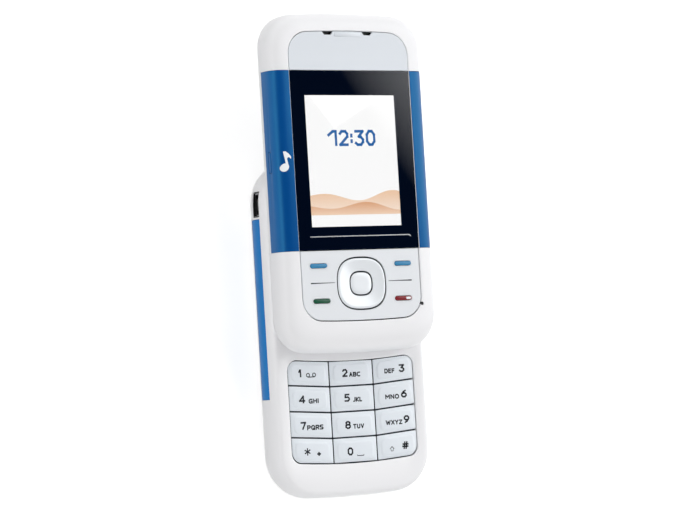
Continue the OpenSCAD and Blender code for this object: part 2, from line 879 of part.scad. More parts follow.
motor_r = 4;
motor_h = 2.8;
motor_x = speaker_x - 2.4;

module vibration_motor() {
    color(steel)
    at_base()
        translate([-motor_x, cover_top_y + back_wall + motor_r + 0.6, back_wall + 0.05])
            cylinder(r = motor_r, h = motor_h);
}

antenna_l = body_w * 0.45;
antenna_y0 = back_wall + 1.2 - base_top;
antenna_wall = 1;

module antenna() {
    color(black)
    at_base()
        translate([-antenna_l / 2, antenna_y0, floor_z + floor_t])
            difference() {
                cube([antenna_l, board_y0 - 0.3 - antenna_y0, board_top_z - floor_z - floor_t - 0.05]);
                translate([antenna_wall, antenna_wall, antenna_wall])
                    cube([antenna_l - 2 * antenna_wall, antenna_l, base_t]);
            }
}

module base_rail_plate() {
    color(steel)
    at_base() {
        difference() {
            translate([0, 0, base_t - base_plate_t])
                linear_extrude(base_plate_t)
                    rail_plate_outline(0);
            translate([-flex_w / 2 - 0.3, flex_y0 - 0.5, 0])
                cube([flex_w + 0.6, flex_y1 - flex_y0 + 1, base_t + 1]);
        }
        both_sides()
            translate([rail_x, (rail_y0 + rail_y1) / 2, 0]) {
                translate([-rail_neck / 2, -rail_l / 2, base_t - base_plate_t])
                    cube([rail_neck, rail_l, rail_head_z + rail_head_t - base_t + base_plate_t]);
                translate([-rail_head / 2, -rail_l / 2, rail_head_z])
                    cube([rail_head, rail_l, rail_head_t]);
            }
    }
}

module flex_cable() {
    color([0.75, 0.45, 0.15])
    at_base() {
        translate([-flex_w / 2, flex_y0 - 0.1, base_t - base_plate_t])
            cube([flex_w, flex_y1 - flex_y0, 0.2]);
        translate([-flex_w / 2, flex_y0 - 0.1, board_top_z])
            cube([flex_w, 0.2, base_t - base_plate_t + 0.2 - board_top_z]);
    }
}

// A screw that points up from its head
module screw(l) {
    cylinder(r = screw_head_r, h = screw_head_t);
    cylinder(r = screw_r, h = l);
}

module base_screws() {
    color(steel)
    at_base()
        for (spot = base_screw_spots)
            translate([spot[0], spot[1], back_seam_z + 0.05])
                screw(floor_z + floor_t + 2 - back_seam_z);
}

// ---- Sliding half: shells ----

slide_screw_x = body_w / 2 - slide_wall - 1.75;
slide_screw_spots = [
    for (x = [-slide_screw_x, slide_screw_x], y = [field_y0 + 4.9, field_y1 - 7]) [x, y]];
slide_boss_r = screw_r + 0.8;

// The band along the side that the coloured panel fills, on the +X side, with its own margin d
module side_panel_band(d) {
    translate([field_hw + side_panel_in - d, window_y0 - d, slide_wide_z - 0.4 - d])
        cube([body_w, window_h + 2 * d, slide_t]);
}

music_z = slide_t - 4;
music_y = window_y0 + music_rise;
music_flange = 0.5;
music_flange_in = slide_wall + 0.8; // how deep the key's flange lies behind the widest line
music_stop_x = body_w / 2 - music_flange_in - flange_t - key_travel - 0.1;
switch_l = 3; // length of a side switch
switch_w = 4; // width of a side switch

// Slot of the music key, drawn along -X from the centre, with its own margin d
module music_slot(d) {
    translate([0, music_y, music_z])
        rotate([90, 0, -90])
            linear_extrude(body_w)
                rotate(90)
                    slot_shape(music_l + 2 * d, music_w + 2 * d);
}

module slide_front_cover() {
    color(white)
    at_slide()
        difference() {
            slide_form(back_cover_t + 0.05, slide_t, 0);
            difference() {
                slide_form(back_cover_t - 0.5, rim_z, slide_wall);
                for (spot = slide_screw_spots)
                    translate([spot[0], spot[1], 0])
                        cylinder(r = slide_boss_r, h = slide_t);
            }
            translate([0, 0, back_cover_t])
                linear_extrude(slide_t)
                    field(0);
            both_sides()
                difference() {
                    side_panel_band(0.05);
                    slide_form(0, slide_t - side_panel_t - 0.05, side_panel_t + 0.05);
                }
            music_slot(bar_fit);
            translate([mic_x, mic_y, panel_z])
                cylinder(r = mic_hole_r, h = slide_t);
            for (spot = slide_screw_spots)
                translate([spot[0], spot[1], -e])
                    cylinder(r = screw_r + 0.02, h = rim_z - 1);
        }
}

module side_panel(right) {
    color(blue)
    at_slide()
        mirror([right ? 0 : 1, 0, 0])
            difference() {
                intersection() {
                    slide_form(slide_wide_z - 0.4, slide_t, 0);
                    side_panel_band(0);
                }
                slide_form(0, slide_t - side_panel_t, side_panel_t);
                if (!right)
                    mirror([1, 0, 0])
                        music_slot(bar_fit);
            }
}

module side_panel_left() { side_panel(false); }
module side_panel_right() { side_panel(true); }

module music_key() {
    color(blue)
    at_slide() {
        intersection() {
            music_slot(0);
            translate([-body_w / 2, music_y - music_l, 0])
                cube([music_flange_in + flange_t / 2, 2 * music_l, slide_t]);
        }
        intersection() {
            music_slot(music_flange);
            translate([music_flange_in - body_w / 2, music_y - music_l, 0])
                cube([flange_t, 2 * music_l, slide_t]);
        }
    }
}

slide_plate_y0 = slot_y0 - plate_margin;
slide_plate_y1 = slot_y1 + plate_margin;

// Both slots of the slide mechanism, w wide, measured from the sliding half's own centre
module rail_slots(w, d) {
    both_sides()
        translate([rail_x - w / 2, slot_y0 - d])
            square([w, slot_y1 - slot_y0 + 2 * d]);
}

module slide_plate_outline(d) {
    translate([-plate_hw - d, slide_plate_y0 - d])
        square([2 * (plate_hw + d), slide_plate_y1 - slide_plate_y0 + 2 * d]);
}

module slide_rail_plate() {
    color(steel)
    at_slide()
        linear_extrude(slide_plate_t)
            difference() {
                slide_plate_outline(0);
                rail_slots(rail_neck + 2 * rail_fit, 0);
            }
}

module slide_back_cover() {
    color(white)
    at_slide()
        difference() {
            union() {
                slide_form(0, back_cover_t, 0);
                for (spot = board_posts)
                    translate([spot[0], spot[1], back_cover_t - 0.2])
                        cylinder(r = board_post_r, h = slide_board_z - back_cover_t + 0.2);
            }
            translate([0, 0, -1])
                linear_extrude(slide_plate_t + 1)
                    slide_plate_outline(seat_fit);
            translate([0, 0, -1])
                linear_extrude(slide_t)
                    rail_slots(rail_head + 0.6, 0.3);
            for (spot = slide_screw_spots)
                translate([spot[0], spot[1], -e]) {
                    cylinder(r = screw_r + 0.1, h = slide_t);
                    cylinder(r = screw_head_r + 0.1, h = screw_head_t - 0.1);
                }
        }
}

module slide_screws() {
    color(steel)
    at_slide()
        for (spot = slide_screw_spots)
            translate([spot[0], spot[1], 0]) {
                cylinder(r = screw_head_r, h = screw_head_t - 0.15);
                cylinder(r = screw_r, h = rim_z - 1.3);
            }
}

// ---- Sliding half: face ----

module window() {
    color([0.2, 0.2, 0.25, 0.4])
    at_slide()
        translate([0, 0, window_z])
            linear_extrude(window_t)
                zone(0.05, window_y0 + panel_seam, window_y1 - panel_seam);
}

display_y = window_y1 - display_margin - display_h / 2;

module window_frame() {
    color(black)
    at_slide()
        translate([0, 0, frame_z])
            linear_extrude(frame_t)
                difference() {
                    zone(0.05, window_y0 + panel_seam, window_y1 - panel_seam);
                    translate([0, display_y])
                        square([display_w, display_h], center = true);
                }
}

display_edge = 2.4;
display_tail = 5;

module display_block(d) {
    translate([-display_w / 2 - display_edge - d, display_y - display_h / 2 - display_tail - d])
        square([display_w + 2 * (display_edge + d), display_h + display_edge + display_tail + 2 * d]);
}

module display_module() {
    color([0.9, 0.92, 0.95])
    at_slide()
        translate([0, 0, display_z])
            linear_extrude(frame_z - display_z)
                display_block(0);
}

rib_in = 1.35; // distance from the field's edge to the inside of the ribs

// Flat inner frame under the face's rim, with a raised rib that carries the two metal panels
module slide_chassis() {
    color(black)
    at_slide()
        difference() {
            union() {
                translate([0, 0, chassis_z])
                    linear_extrude(chassis_t - 0.05)
                        polygon(outline(
                            field_hw + 0.4, field_y0 - 0.6, field_y1 + 0.6, panel_corner_r, panel_corner_r));
                translate([0, 0, chassis_z])
                    linear_extrude(panel_z - chassis_z)
                        difference() {
                            zone(0.15, field_y0 - 1, window_y0 - panel_seam);
                            zone(rib_in, field_y0 - 1, window_y0 + 1);
                        }
                translate([0, 0, chassis_z])
                    linear_extrude(ear_z - chassis_z)
                        difference() {
                            zone(0.15, window_y1 + panel_seam, field_y1 + 1);
                            zone(rib_in, window_y1 - 1, field_y1 - 2.2);
                        }
            }
            translate([0, 0, chassis_z - 1])
                linear_extrude(slide_t) {
                    display_block(0.15);
                    zone(rib_in, field_y0 - 1, mat_y1 + 0.2);
                    translate([0, ear_y])
                        square([ear_l + 0.2, ear_d + 0.2], center = true);
                    for (spot = slide_screw_spots)
                        translate(spot)
                            circle(r = slide_boss_r + 0.15);
                }
            for (s = [-1, 1])
                translate([s * ear_slot_x, ear_slot_y, slide_t])
                    cube([ear_slot_w + 0.8, 2.4, 3], center = true);
        }
}

ear_slot_x = 6.25;
ear_slot_w = 3.2;
ear_slot_h = 1;
ear_lip_l = 8.4; // raised lip between the slots
ear_lip_w = 1.1;
ear_lip_h = 0.12;
ear_slot_y = field_y1 - panel_gap - ear_slot_h / 2;
ear_l = 12;
ear_d = 5;
ear_y = field_y1 - 5.2;

module earpiece_panel() {
    color(silver)
    at_slide() {
        translate([0, 0, ear_z])
            linear_extrude(panel_t)
                difference() {
                    zone(panel_gap / 2, window_y1 + panel_seam, field_y1 + 1);
                    for (s = [-1, 1])
                        translate([s * ear_slot_x, field_y1 - panel_gap / 2])
                            polygon([
                                [-ear_slot_w / 2, 0.3], [-ear_slot_w / 2, -ear_slot_h / 3],
                                [-ear_slot_w * 0.33, -ear_slot_h], [ear_slot_w * 0.33, -ear_slot_h],
                                [ear_slot_w / 2, -ear_slot_h / 3], [ear_slot_w / 2, 0.3]]);
                }
        translate([-ear_lip_l / 2, field_y1 - panel_gap - 0.2 - ear_lip_w, slide_t - e])
            cube([ear_lip_l, ear_lip_w, ear_lip_h + e]);
    }
}

module earpiece() {
    color(black)
    at_slide()
        translate([-ear_l / 2, ear_y - ear_d / 2, slide_board_z + board_t])
            cube([ear_l, ear_d, ear_z - 0.3 - slide_board_z - board_t]);
}

mic_x = field_hw - 0.1;
mic_y = field_y0 + 4.1;
mic_hole_r = 0.5;
mic_r = 2; // radius of the capsule
mic_in = 4.3; // distance from the hole in to the capsule

module microphone() {
    color(black)
    at_slide()
        translate([mic_x - mic_in, mic_y, slide_board_z + board_t])
            cylinder(r = mic_r, h = 1.1);
}

// Places of the four bars on the function panel
soft_x = field_hw - soft_in;
call_x = field_hw - call_in;
soft_y = window_y0 - soft_drop;
call_y = window_y0 - call_drop;

module bar_shape(x, y, d) {
    translate([x, y])
        rotate(90)
            slot_shape(bar_l + 2 * d, bar_w + 2 * d);
}

module bar_shapes(d) {
    for (s = [-1, 1]) {
        bar_shape(s * soft_x, soft_y, d);
        bar_shape(s * call_x, call_y, d);
    }
}

groove_l = 7.6; // groove on each side of the navigation ring
groove_w = 0.2;
groove_depth = 0.15;
collar_w = 0.5;
collar_h = 0.1;

module function_panel() {
    color(silver)
    at_slide()
        difference() {
            union() {
                translate([0, 0, panel_z])
                    linear_extrude(panel_t)
                        difference() {
                            zone(panel_gap, field_y0 - 1, window_y0 - panel_seam);
                            translate([0, nav_y])
                                polygon(squircle(nav_rx, nav_ry, 48));
                            bar_shapes(bar_fit);
                            translate([mic_x, mic_y])
                                circle(r = mic_hole_r);
                        }
                // low collars round the bars
                translate([0, 0, panel_z + panel_t - e])
                    linear_extrude(collar_h + e)
                        difference() {
                            bar_shapes(collar_w);
                            bar_shapes(bar_fit);
                        }
            }
            for (s = [-1, 1])
                translate([s * (nav_rx + 4.4), nav_y + 0.4, panel_z + panel_t])
                    cube([groove_l, groove_w, 2 * groove_depth], center = true);
        }
}

// Top edge of the mat, below the window and the display module
mat_y1 = min(window_y0 - 1.6, display_y - display_h / 2 - display_tail - 0.4);

module function_mat() {
    color(pale_rubber)
    at_slide()
        difference() {
            translate([0, 0, slide_board_z + board_t])
                linear_extrude(func_mat_z - slide_board_z - board_t)
                    difference() {
                        zone(rib_in + 0.25, field_y0 - 1, mat_y1);
                        translate([mic_x - mic_in, mic_y])
                            circle(r = mic_r + 0.2);
                    }
            translate([0, nav_y, nav_mat_z])
                linear_extrude(slide_t)
                    polygon(squircle(nav_rx + 0.8, nav_ry + 0.8, 48));
        }
}

module bar_key(x, y) {
    at_slide() {
        translate([0, 0, flange_z])
            linear_extrude(panel_z + panel_t + bar_proud - 0.15 - flange_z)
                bar_shape(x, y, 0);
        translate([0, 0, panel_z + panel_t + bar_proud - 0.15 - e])
            linear_extrude(0.15 + e)
                bar_shape(x, y, -0.12);
        translate([0, 0, flange_z])
            linear_extrude(flange_t)
                bar_shape(x, y, 0.6);
    }
}

module soft_key_left() { color([0.2, 0.5, 0.7]) bar_key(-soft_x, soft_y); }
module soft_key_right() { color([0.2, 0.5, 0.7]) bar_key(soft_x, soft_y); }
module send_key() { color([0, 0.35, 0.23]) bar_key(-call_x, call_y); }
module end_key() { color([0.5, 0.08, 0.13]) bar_key(call_x, call_y); }

function nav_ring_at(inset, z) =
    [for (p = squircle(nav_rx - inset, nav_ry - inset, 36)) [p[0], p[1] + nav_y, z]];

nav_flange = 0.3;
nav_top_z = slide_t - 0.1;
nav_dish = 0.32; // how far the ring's face falls towards the centre key

module nav_ring() {
    color(silver)
    at_slide()
        difference() {
            loft([
                nav_ring_at(-nav_flange, nav_ring_z),
                nav_ring_at(-nav_flange, nav_ring_z + nav_flange_t),
                nav_ring_at(nav_fit, nav_ring_z + nav_flange_t + e),
                nav_ring_at(nav_fit, nav_top_z - 0.2),
                nav_ring_at(nav_fit + 0.25, nav_top_z - 0.02),
                nav_ring_at(nav_fit + 0.7, nav_top_z),
                nav_ring_at(nav_fit + 4, nav_top_z - nav_dish)]);
            translate([0, nav_y, 0])
                linear_extrude(slide_t + 1)
                    polygon(squircle(centre_rx + nav_fit, centre_ry + nav_fit, 36));
        }
}

module nav_plate() {
    color(pale_rubber)
    at_slide()
        translate([0, nav_y, nav_plate_z])
            difference() {
                cylinder(r = nav_plate_r, h = nav_plate_t, $fn = 48);
                translate([0, 0, -1])
                    cylinder(r = centre_rx + centre_flange + nav_fit, h = 3, $fn = 48);
            }
}

centre_flange = 0.6;
centre_key_z = nav_mat_z + key_travel + 0.05;
centre_flange_t = 0.15;

// Pairs of inset and height, from the flange up to the top
centre_key_profile = [
    [-centre_flange, centre_key_z], [-centre_flange, centre_key_z + centre_flange_t],
    [0, centre_key_z + centre_flange_t + e], [0, slide_t - 0.62],
    [0.3, slide_t - 0.48], [1.4, slide_t - 0.42]];

module centre_key() {
    color(silver)
    at_slide()
        translate([0, nav_y, 0])
            loft([for (s = centre_key_profile)
                lift(squircle(centre_rx - s[0], centre_ry - s[0], 36), s[1])]);
}

board_post_r = 1.2;
board_post_x = rail_x - rail_head / 2 - 4.8;

// Posts of the back cover that hold up the board: one at each end, four round the middle
board_posts = concat(
    [[0, slot_y0 - plate_margin - 3], [0, slot_y1 + 1]],
    [for (x = [-board_post_x, board_post_x], y = [slot_y0 + rail_l * 0.62, slot_y1 - rail_l * 0.62]) [x, y]]);

// Side switch that the music key presses
module music_switch() {
    color(steel)
    at_slide()
        translate([0.3 - music_stop_x, music_y, slide_board_z + board_t]) {
            translate([0, -switch_w / 2, 0])
                cube([switch_l, switch_w, chassis_z - slide_board_z - board_t - 0.1]);
            translate([-0.3, -0.8, 0.1])
                cube([0.3 + e, 1.6, 0.6]);
        }
}

module slide_board() {
    color(board_green)
    at_slide()
        translate([0, 0, slide_board_z])
            linear_extrude(board_t)
                polygon(outline(field_hw - 0.4, field_y0 + 1, field_y1 - 1, 5, 5));
}

// ---- The pieces ----

base_front_cover();
rear_shell();
battery_cover();
base_rail_plate();
main_board();
shield_can();
battery();
sim_holder();
dome_sheet();
keypad_mat();
key_1();
key_2();
key_3();
key_4();
key_5();
key_6();
key_7();
key_8();
key_9();
key_star();
key_0();
key_hash();
side_strip_left();
side_strip_right();
volume_rocker();
volume_switch();
data_socket();
camera_module();
camera_window();
loudspeaker();
vibration_motor();
antenna();
flex_cable();
base_screws();
slide_front_cover();
slide_back_cover();
slide_rail_plate();
slide_chassis();
side_panel_left();
side_panel_right();
music_key();
music_switch();
window();
window_frame();
display_module();
earpiece_panel();
earpiece();
microphone();
function_panel();
function_mat();
soft_key_left();
soft_key_right();
send_key();
end_key();
nav_plate();
nav_ring();
centre_key();
slide_board();
slide_screws();
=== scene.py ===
from math import asin, cos, degrees, pi, radians, sin, sqrt

import bmesh
import bpy
from mathutils import Matrix, Vector


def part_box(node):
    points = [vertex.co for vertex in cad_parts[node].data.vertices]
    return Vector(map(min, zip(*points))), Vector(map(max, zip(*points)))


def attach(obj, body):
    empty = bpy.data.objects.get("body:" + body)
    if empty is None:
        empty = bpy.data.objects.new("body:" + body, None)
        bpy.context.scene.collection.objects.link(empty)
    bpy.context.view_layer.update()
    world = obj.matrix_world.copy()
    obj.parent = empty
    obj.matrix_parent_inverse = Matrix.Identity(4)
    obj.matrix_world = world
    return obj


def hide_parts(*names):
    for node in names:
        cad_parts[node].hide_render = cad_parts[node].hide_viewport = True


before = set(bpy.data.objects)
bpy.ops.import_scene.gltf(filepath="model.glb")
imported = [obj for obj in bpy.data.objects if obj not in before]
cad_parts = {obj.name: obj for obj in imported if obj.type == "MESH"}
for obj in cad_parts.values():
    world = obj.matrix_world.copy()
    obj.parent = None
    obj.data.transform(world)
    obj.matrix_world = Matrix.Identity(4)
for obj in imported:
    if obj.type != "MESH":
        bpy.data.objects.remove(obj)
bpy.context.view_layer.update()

# Slider phone, open. Sizes are in millimetres until a mesh is made. Each half is drawn round its own
# centre, as it is moulded, and placed by BASE or SLIDE.

MM = 0.001


def reach(*nodes):
    """Lowest and highest corner of some nodes together, in millimetres."""
    boxes = [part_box(node) for node in nodes]
    low = Vector([min(b[0][axis] for b in boxes) for axis in range(3)])
    high = Vector([max(b[1][axis] for b in boxes) for axis in range(3)])
    return low / MM, high / MM


# ---- Sizes ----

base_low, base_high = reach("rear_shell", "battery_cover", "base_front_cover")
slide_low, slide_high = reach("slide_front_cover", "slide_back_cover")
BASE = Vector((0, (base_low.y + base_high.y) / 2, 0))
SLIDE = Vector((0, (slide_low.y + slide_high.y) / 2, slide_low.z))
HALF_W = (base_high.x - base_low.x) / 2
HALF_L = (base_high.y - base_low.y) / 2
BASE_T = base_high.z
SLIDE_T = slide_high.z - slide_low.z
TRAVEL = SLIDE.y - BASE.y

BASE_CORNER_R = 11.5
SLIDE_CORNER_R = 9
END_R = 300
CORNER_FOLLOW = 0.75
BASE_WIDE_Z = 7
BASE_FRONT_ROLL = 2
BASE_BACK_ROLL = 5
BASE_FRONT_SQUARE = 2.8
BASE_BACK_SQUARE = 1.9
FRONT_SEAM_Z = 9.1
BACK_SEAM_Z = 3.6
WALL = 1.4
BACK_WALL = 1.8
FLOOR_TOP_Z = 7.5
SLIDE_WIDE_Z = 2.4
SLIDE_BACK_ROLL = 1.2
SLIDE_SQUARE = 3
SLIDE_WALL = 2
BACK_COVER_T = 1

FIELD_HALF_W = HALF_W - 5.3
LAND = 0.3
SIDE_ROLL = HALF_W - FIELD_HALF_W - LAND
PANEL_CORNER_R = 6.2
FIELD_TOP = HALF_L - 5.2
WINDOW_TOP = FIELD_TOP - 10.85
WINDOW_FOOT = WINDOW_TOP - 48.7
FIELD_FOOT = WINDOW_FOOT - 19.35
CHIN = FIELD_FOOT + HALF_L
TOP_BAND = HALF_L - FIELD_TOP
PANEL_T = 0.6
PANEL_Z = SLIDE_T - 0.17 - PANEL_T
PANEL_EDGE_R = 0.12
SEAM = 0.06
GAP = 0.3
EAR_NOTCH_X = 6.25

PAD_HALF_W = HALF_W - 4.15
MIDDLE_HALF_W = (PAD_HALF_W + 0.75) / 3
ROW = 7
ROW_R = 183
KEY_GAP = 0.42
PAD_GAP = 0.3
PAD_CORNER_R = 3
PAD_TOP = TRAVEL - HALF_L - 2.03
PAD_FOOT = PAD_TOP - 4 * ROW
PILLOW_H = 0.25
KEY_TOP_Z = BASE_T - 0.05 - PILLOW_H
KEY_T = 1.05

NAV = Vector((0, WINDOW_FOOT - 9.15, 0))
NAV_RX = 7.86
NAV_RY = 7.26
NAV_FIT = 0.42
NAV_SQUARE = 2.7
CENTRE_RX = 3.27
CENTRE_RY = 2.98
BAR_L = 5.2
BAR_W = 1.16
BAR_FIT = 0.1
BAR_TOP_Z = PANEL_Z + PANEL_T + 0.42
SOFT_X = FIELD_HALF_W - 5.65
CALL_X = FIELD_HALF_W - 6.05
SOFT_Y = WINDOW_FOOT - 4.1
CALL_Y = WINDOW_FOOT - 13.6

SIDE_PANEL_T = 0.9
SIDE_PANEL_X = FIELD_HALF_W + 0.1
SIDE_PANEL_Z = SLIDE_WIDE_Z - 0.4
MUSIC_Y = WINDOW_FOOT + 24.1
MUSIC_Z = SLIDE_T - 4
MUSIC_FIT = 0.16
MUSIC_L = 5.6
MUSIC_W = 1

MIC_X = FIELD_HALF_W - 0.1
MIC_Y = FIELD_FOOT + 4.1
MIC_R = 0.5

STRIP_TOP = HALF_L - 16.05
STRIP_FOOT = STRIP_TOP - 48.9
STRIP_T = 0.8
STRIP_SINK = 0.12
ROCKER_L = 13.5
ROCKER_H = 2.2
ROCKER = Vector((HALF_W, STRIP_TOP - ROCKER_L / 2 - 2, (FRONT_SEAM_Z + BACK_SEAM_Z) / 2))
ROCKER_FIT = 0.15

RAIL_PLATE_FIT = 0.1
RAIL_PLATE_CORNER_R = 5
RAIL_PLATE_SINK = 0.6
RAIL_X = HALF_W - 8.75
RAIL_SLOT_W = 4
RAIL_SLOT_MARGIN = 2.7

BATTERY_BAY_TOP_Z = 6.7
COVER_FLOOR_Z = 1.2
COVER_WALL = 1.6
COVER_TOP = 23.5
CAMERA_Y = COVER_TOP + 11.5
CAMERA_R = 4.5
SPEAKER_X = HALF_W - 11.65
SOUND_SLOT_L = 6
SOUND_SLOT_W = 0.8
SOUND_SLOT_PITCH = 2
SCREW_HOLE_R = 1.4

DISPLAY_HALF_W = FIELD_HALF_W - 4.67
DISPLAY_H = 35.7
DISPLAY_Y = WINDOW_TOP - 6.64 - DISPLAY_H / 2
DISPLAY_DEPTH = 1.5
DUNE_FOOT = 3.2
FAR_DUNE_TOP = 8.2
NEAR_DUNE_TOP = 5.6
CLOCK_Y = DISPLAY_Y + 6.2
CLOCK_HALF_W = 7.6
CLOCK_HALF_H = 2.2
CLOCK_WEIGHT = 0.75
# Painted highlight line under the picture, along the edge of a low ridge
HIGHLIGHT_LINE_Y = DISPLAY_Y - 20.5
HIGHLIGHT_LINE_W = 0.26

NOTE_X = -21.85
NOTE_Y = MUSIC_Y - 1.6
NOTE_HEAD_TILT = 38
NOTE_HEAD_LONG = 1.28
NOTE_HEAD_SHORT = 1.02
NOTE_LIFT = 0.03


# ---- Outlines: lists of (x, y) points, counter-clockwise from the right end of the bottom edge ----

CORNER_STEPS = 14
END_STEPS = 10
EDGE_STEPS = 12


def arc(centre, radius, start, end, steps):
    """Points along an arc, with its angles in degrees."""
    angles = [radians(start + (end - start) * i / steps) for i in range(steps + 1)]
    return [(centre[0] + radius * cos(a), centre[1] + radius * sin(a)) for a in angles]


def circle(radius, steps):
    """Closed ring of points round the origin."""
    return arc((0, 0), radius, 0, 360, steps)[:-1]


def outline(half_w, foot, top, radius, stations=()):
    """Four corner arcs, straight sides with a point at each station, and a shallow arc across each end."""
    turn = asin((half_w - radius) / (END_R - radius))
    rise = END_R - (END_R - radius) * cos(turn)
    turn = degrees(turn)
    x = half_w - radius
    low = foot + rise
    high = top - rise
    return (
        arc((x, low), radius, turn - 90, 0, CORNER_STEPS)
        + [(half_w, y) for y in stations]
        + arc((x, high), radius, 0, 90 - turn, CORNER_STEPS)
        + arc((0, top - END_R), END_R, 90 - turn, 90 + turn, END_STEPS)[1:-1]
        + arc((-x, high), radius, 90 + turn, 180, CORNER_STEPS)
        + [(-half_w, y) for y in reversed(stations)]
        + arc((-x, low), radius, 180, 270 - turn, CORNER_STEPS)
        + arc((0, foot + END_R), END_R, 270 - turn, 270 + turn, END_STEPS)[1:-1]
    )


def row_rise(x):
    """How far a row of keys has risen at x from the middle."""
    return ROW_R - sqrt(ROW_R * ROW_R - x * x)


def pad_outline(inset, stations=()):
    """Outline of the whole keypad, with as many points as outline()."""
    radius = PAD_CORNER_R - inset
    x = PAD_HALF_W - PAD_CORNER_R
    turn = degrees(asin(x / ROW_R))
    low = PAD_FOOT + row_rise(x) + PAD_CORNER_R
    high = PAD_TOP + row_rise(x) - PAD_CORNER_R
    side = x + radius
    spread = [low + (high - low) * (i + 1) / (len(stations) + 1) for i in range(len(stations))]
    return (
        arc((x, low), radius, turn - 90, 0, CORNER_STEPS)
        + [(side, y) for y in spread]
        + arc((x, high), radius, 0, 90 + turn, CORNER_STEPS)
        + arc((0, PAD_TOP + ROW_R - inset), ROW_R, 270 + turn, 270 - turn, END_STEPS)[1:-1]
        + arc((-x, high), radius, 90 - turn, 180, CORNER_STEPS)
        + [(-side, y) for y in reversed(spread)]
        + arc((-x, low), radius, 180, 270 - turn, CORNER_STEPS)
        + arc((0, PAD_FOOT + ROW_R + inset), ROW_R, 270 - turn, 270 + turn, END_STEPS)[1:-1]
    )


def zone_outline(inset, foot, top, round_foot=False, round_top=False):
    """Part of the field of panels on the sliding half's face, with its own ends round or straight."""
    half_w = FIELD_HALF_W - inset
    radius = PANEL_CORNER_R - inset
    whole = outline(half_w, FIELD_FOOT + inset, FIELD_TOP - inset, radius)
    foot_points = [p for p in whole if p[1] < WINDOW_FOOT]
    top_points = [p for p in whole if p[1] > WINDOW_TOP]
    split = next(i for i, p in enumerate(foot_points) if p[0] < 0 and i > 0 and foot_points[i - 1][0] > 0)
    right_foot = foot_points[:split]
    left_foot = foot_points[split:]
    points = []
    points += right_foot if round_foot else [(half_w, foot + inset)]
    points += top_points if round_top else [(half_w, top - inset), (-half_w, top - inset)]
    points += left_foot if round_foot else [(-half_w, foot + inset)]
    return points


def squircle(rx, ry, steps=72):
    """Closed curve between an ellipse and a rectangle."""
    points = []
    for i in range(steps):
        c = cos(2 * pi * i / steps)
        s = sin(2 * pi * i / steps)
        x = rx * (1 if c >= 0 else -1) * abs(c) ** (2 / NAV_SQUARE)
        y = ry * (1 if s >= 0 else -1) * abs(s) ** (2 / NAV_SQUARE)
        points.append((x, y))
    return points


def stadium(length, width, steps=10):
    """Bar along x with round ends."""
    x = (length - width) / 2
    return arc((x, 0), width / 2, -90, 90, steps) + arc((-x, 0), width / 2, 90, 270, steps)


def rectangle(x0, x1, y0, y1):
    return [(x1, y0), (x1, y1), (x0, y1), (x0, y0)]


def round_rectangle(half_x, half_y, radii, steps=8):
    """Rectangle whose corners have their own radii: bottom right, top right, top left, bottom left."""
    br, tr, tl, bl = radii
    return (
        arc((half_x - br, br - half_y), br, -90, 0, steps)
        + arc((half_x - tr, half_y - tr), tr, 0, 90, steps)
        + arc((tl - half_x, half_y - tl), tl, 90, 180, steps)
        + arc((bl - half_x, bl - half_y), bl, 180, 270, steps)
    )


def shift(points, x, y):
    return [(p[0] + x, p[1] + y) for p in points]


def level(points, z):
    return [(p[0], p[1], z) for p in points]


# ---- Outer forms of the two halves ----


def edge(share, square):
    """Share of an edge's roll at a share of its height: 0 at the widest line, 1 at the face."""
    return 1 - max(0, 1 - share ** square) ** (1 / square)


def edge_levels(wide_z, face_z, square):
    """Heights of the rings up an edge, closer together where it curves more."""
    shares = [sin(pi / 2 * i / EDGE_STEPS) ** (2 / square) for i in range(EDGE_STEPS + 1)]
    return [wide_z + (face_z - wide_z) * share for share in shares]


def span(levels, low, high):
    """Those heights that lie between low and high, with both ends."""
    clear = 0.03
    return [low] + [z for z in levels if low + clear < z < high - clear] + [high]


BASE_LEVELS = list(reversed(edge_levels(BASE_WIDE_Z, 0, BASE_BACK_SQUARE)))[:-1]
BASE_LEVELS += edge_levels(BASE_WIDE_Z, BASE_T, BASE_FRONT_SQUARE)
SLIDE_LEVELS = [0, SLIDE_WIDE_Z / 3, SLIDE_WIDE_Z * 2 / 3]
SLIDE_LEVELS += edge_levels(SLIDE_WIDE_Z, SLIDE_T, SLIDE_SQUARE)
STATIONS = tuple(range(-27, 34, 6))


def base_inset(z, wall=0):
    """How far the base half's side lies inside its widest line, or a wall's inside behind it."""
    if z < BASE_WIDE_Z:
        return BASE_BACK_ROLL * edge((BASE_WIDE_Z - z) / BASE_WIDE_Z, BASE_BACK_SQUARE) + wall
    share = min(1, (z - BASE_WIDE_Z) / (BASE_T - BASE_WIDE_Z - wall))
    return BASE_FRONT_ROLL * edge(share, BASE_FRONT_SQUARE) + wall


def base_ring(z, wall=0):
    """Outline of the base half at a height, or of its inside behind a wall."""
    i = base_inset(z, wall)
    radius = BASE_CORNER_R - i * CORNER_FOLLOW
    return level(outline(HALF_W - i, i - HALF_L, HALF_L - i, radius, STATIONS), z)


def slide_share(z, wall=0):
    """Share of the roll from the sliding half's widest line to its face."""
    return edge(max(0, min(1, (z - SLIDE_WIDE_Z) / (SLIDE_T - SLIDE_WIDE_Z - wall))), SLIDE_SQUARE)


def slide_tuck(z):
    """How far the sliding half draws in below its widest line."""
    return SLIDE_BACK_ROLL * edge(max(0, (SLIDE_WIDE_Z - z) / SLIDE_WIDE_Z), SLIDE_SQUARE)


def slide_inset(z, wall=0):
    """How far the sliding half's side lies inside its widest line, or a wall's inside behind it."""
    return SIDE_ROLL * slide_share(z, wall) + slide_tuck(z) + wall


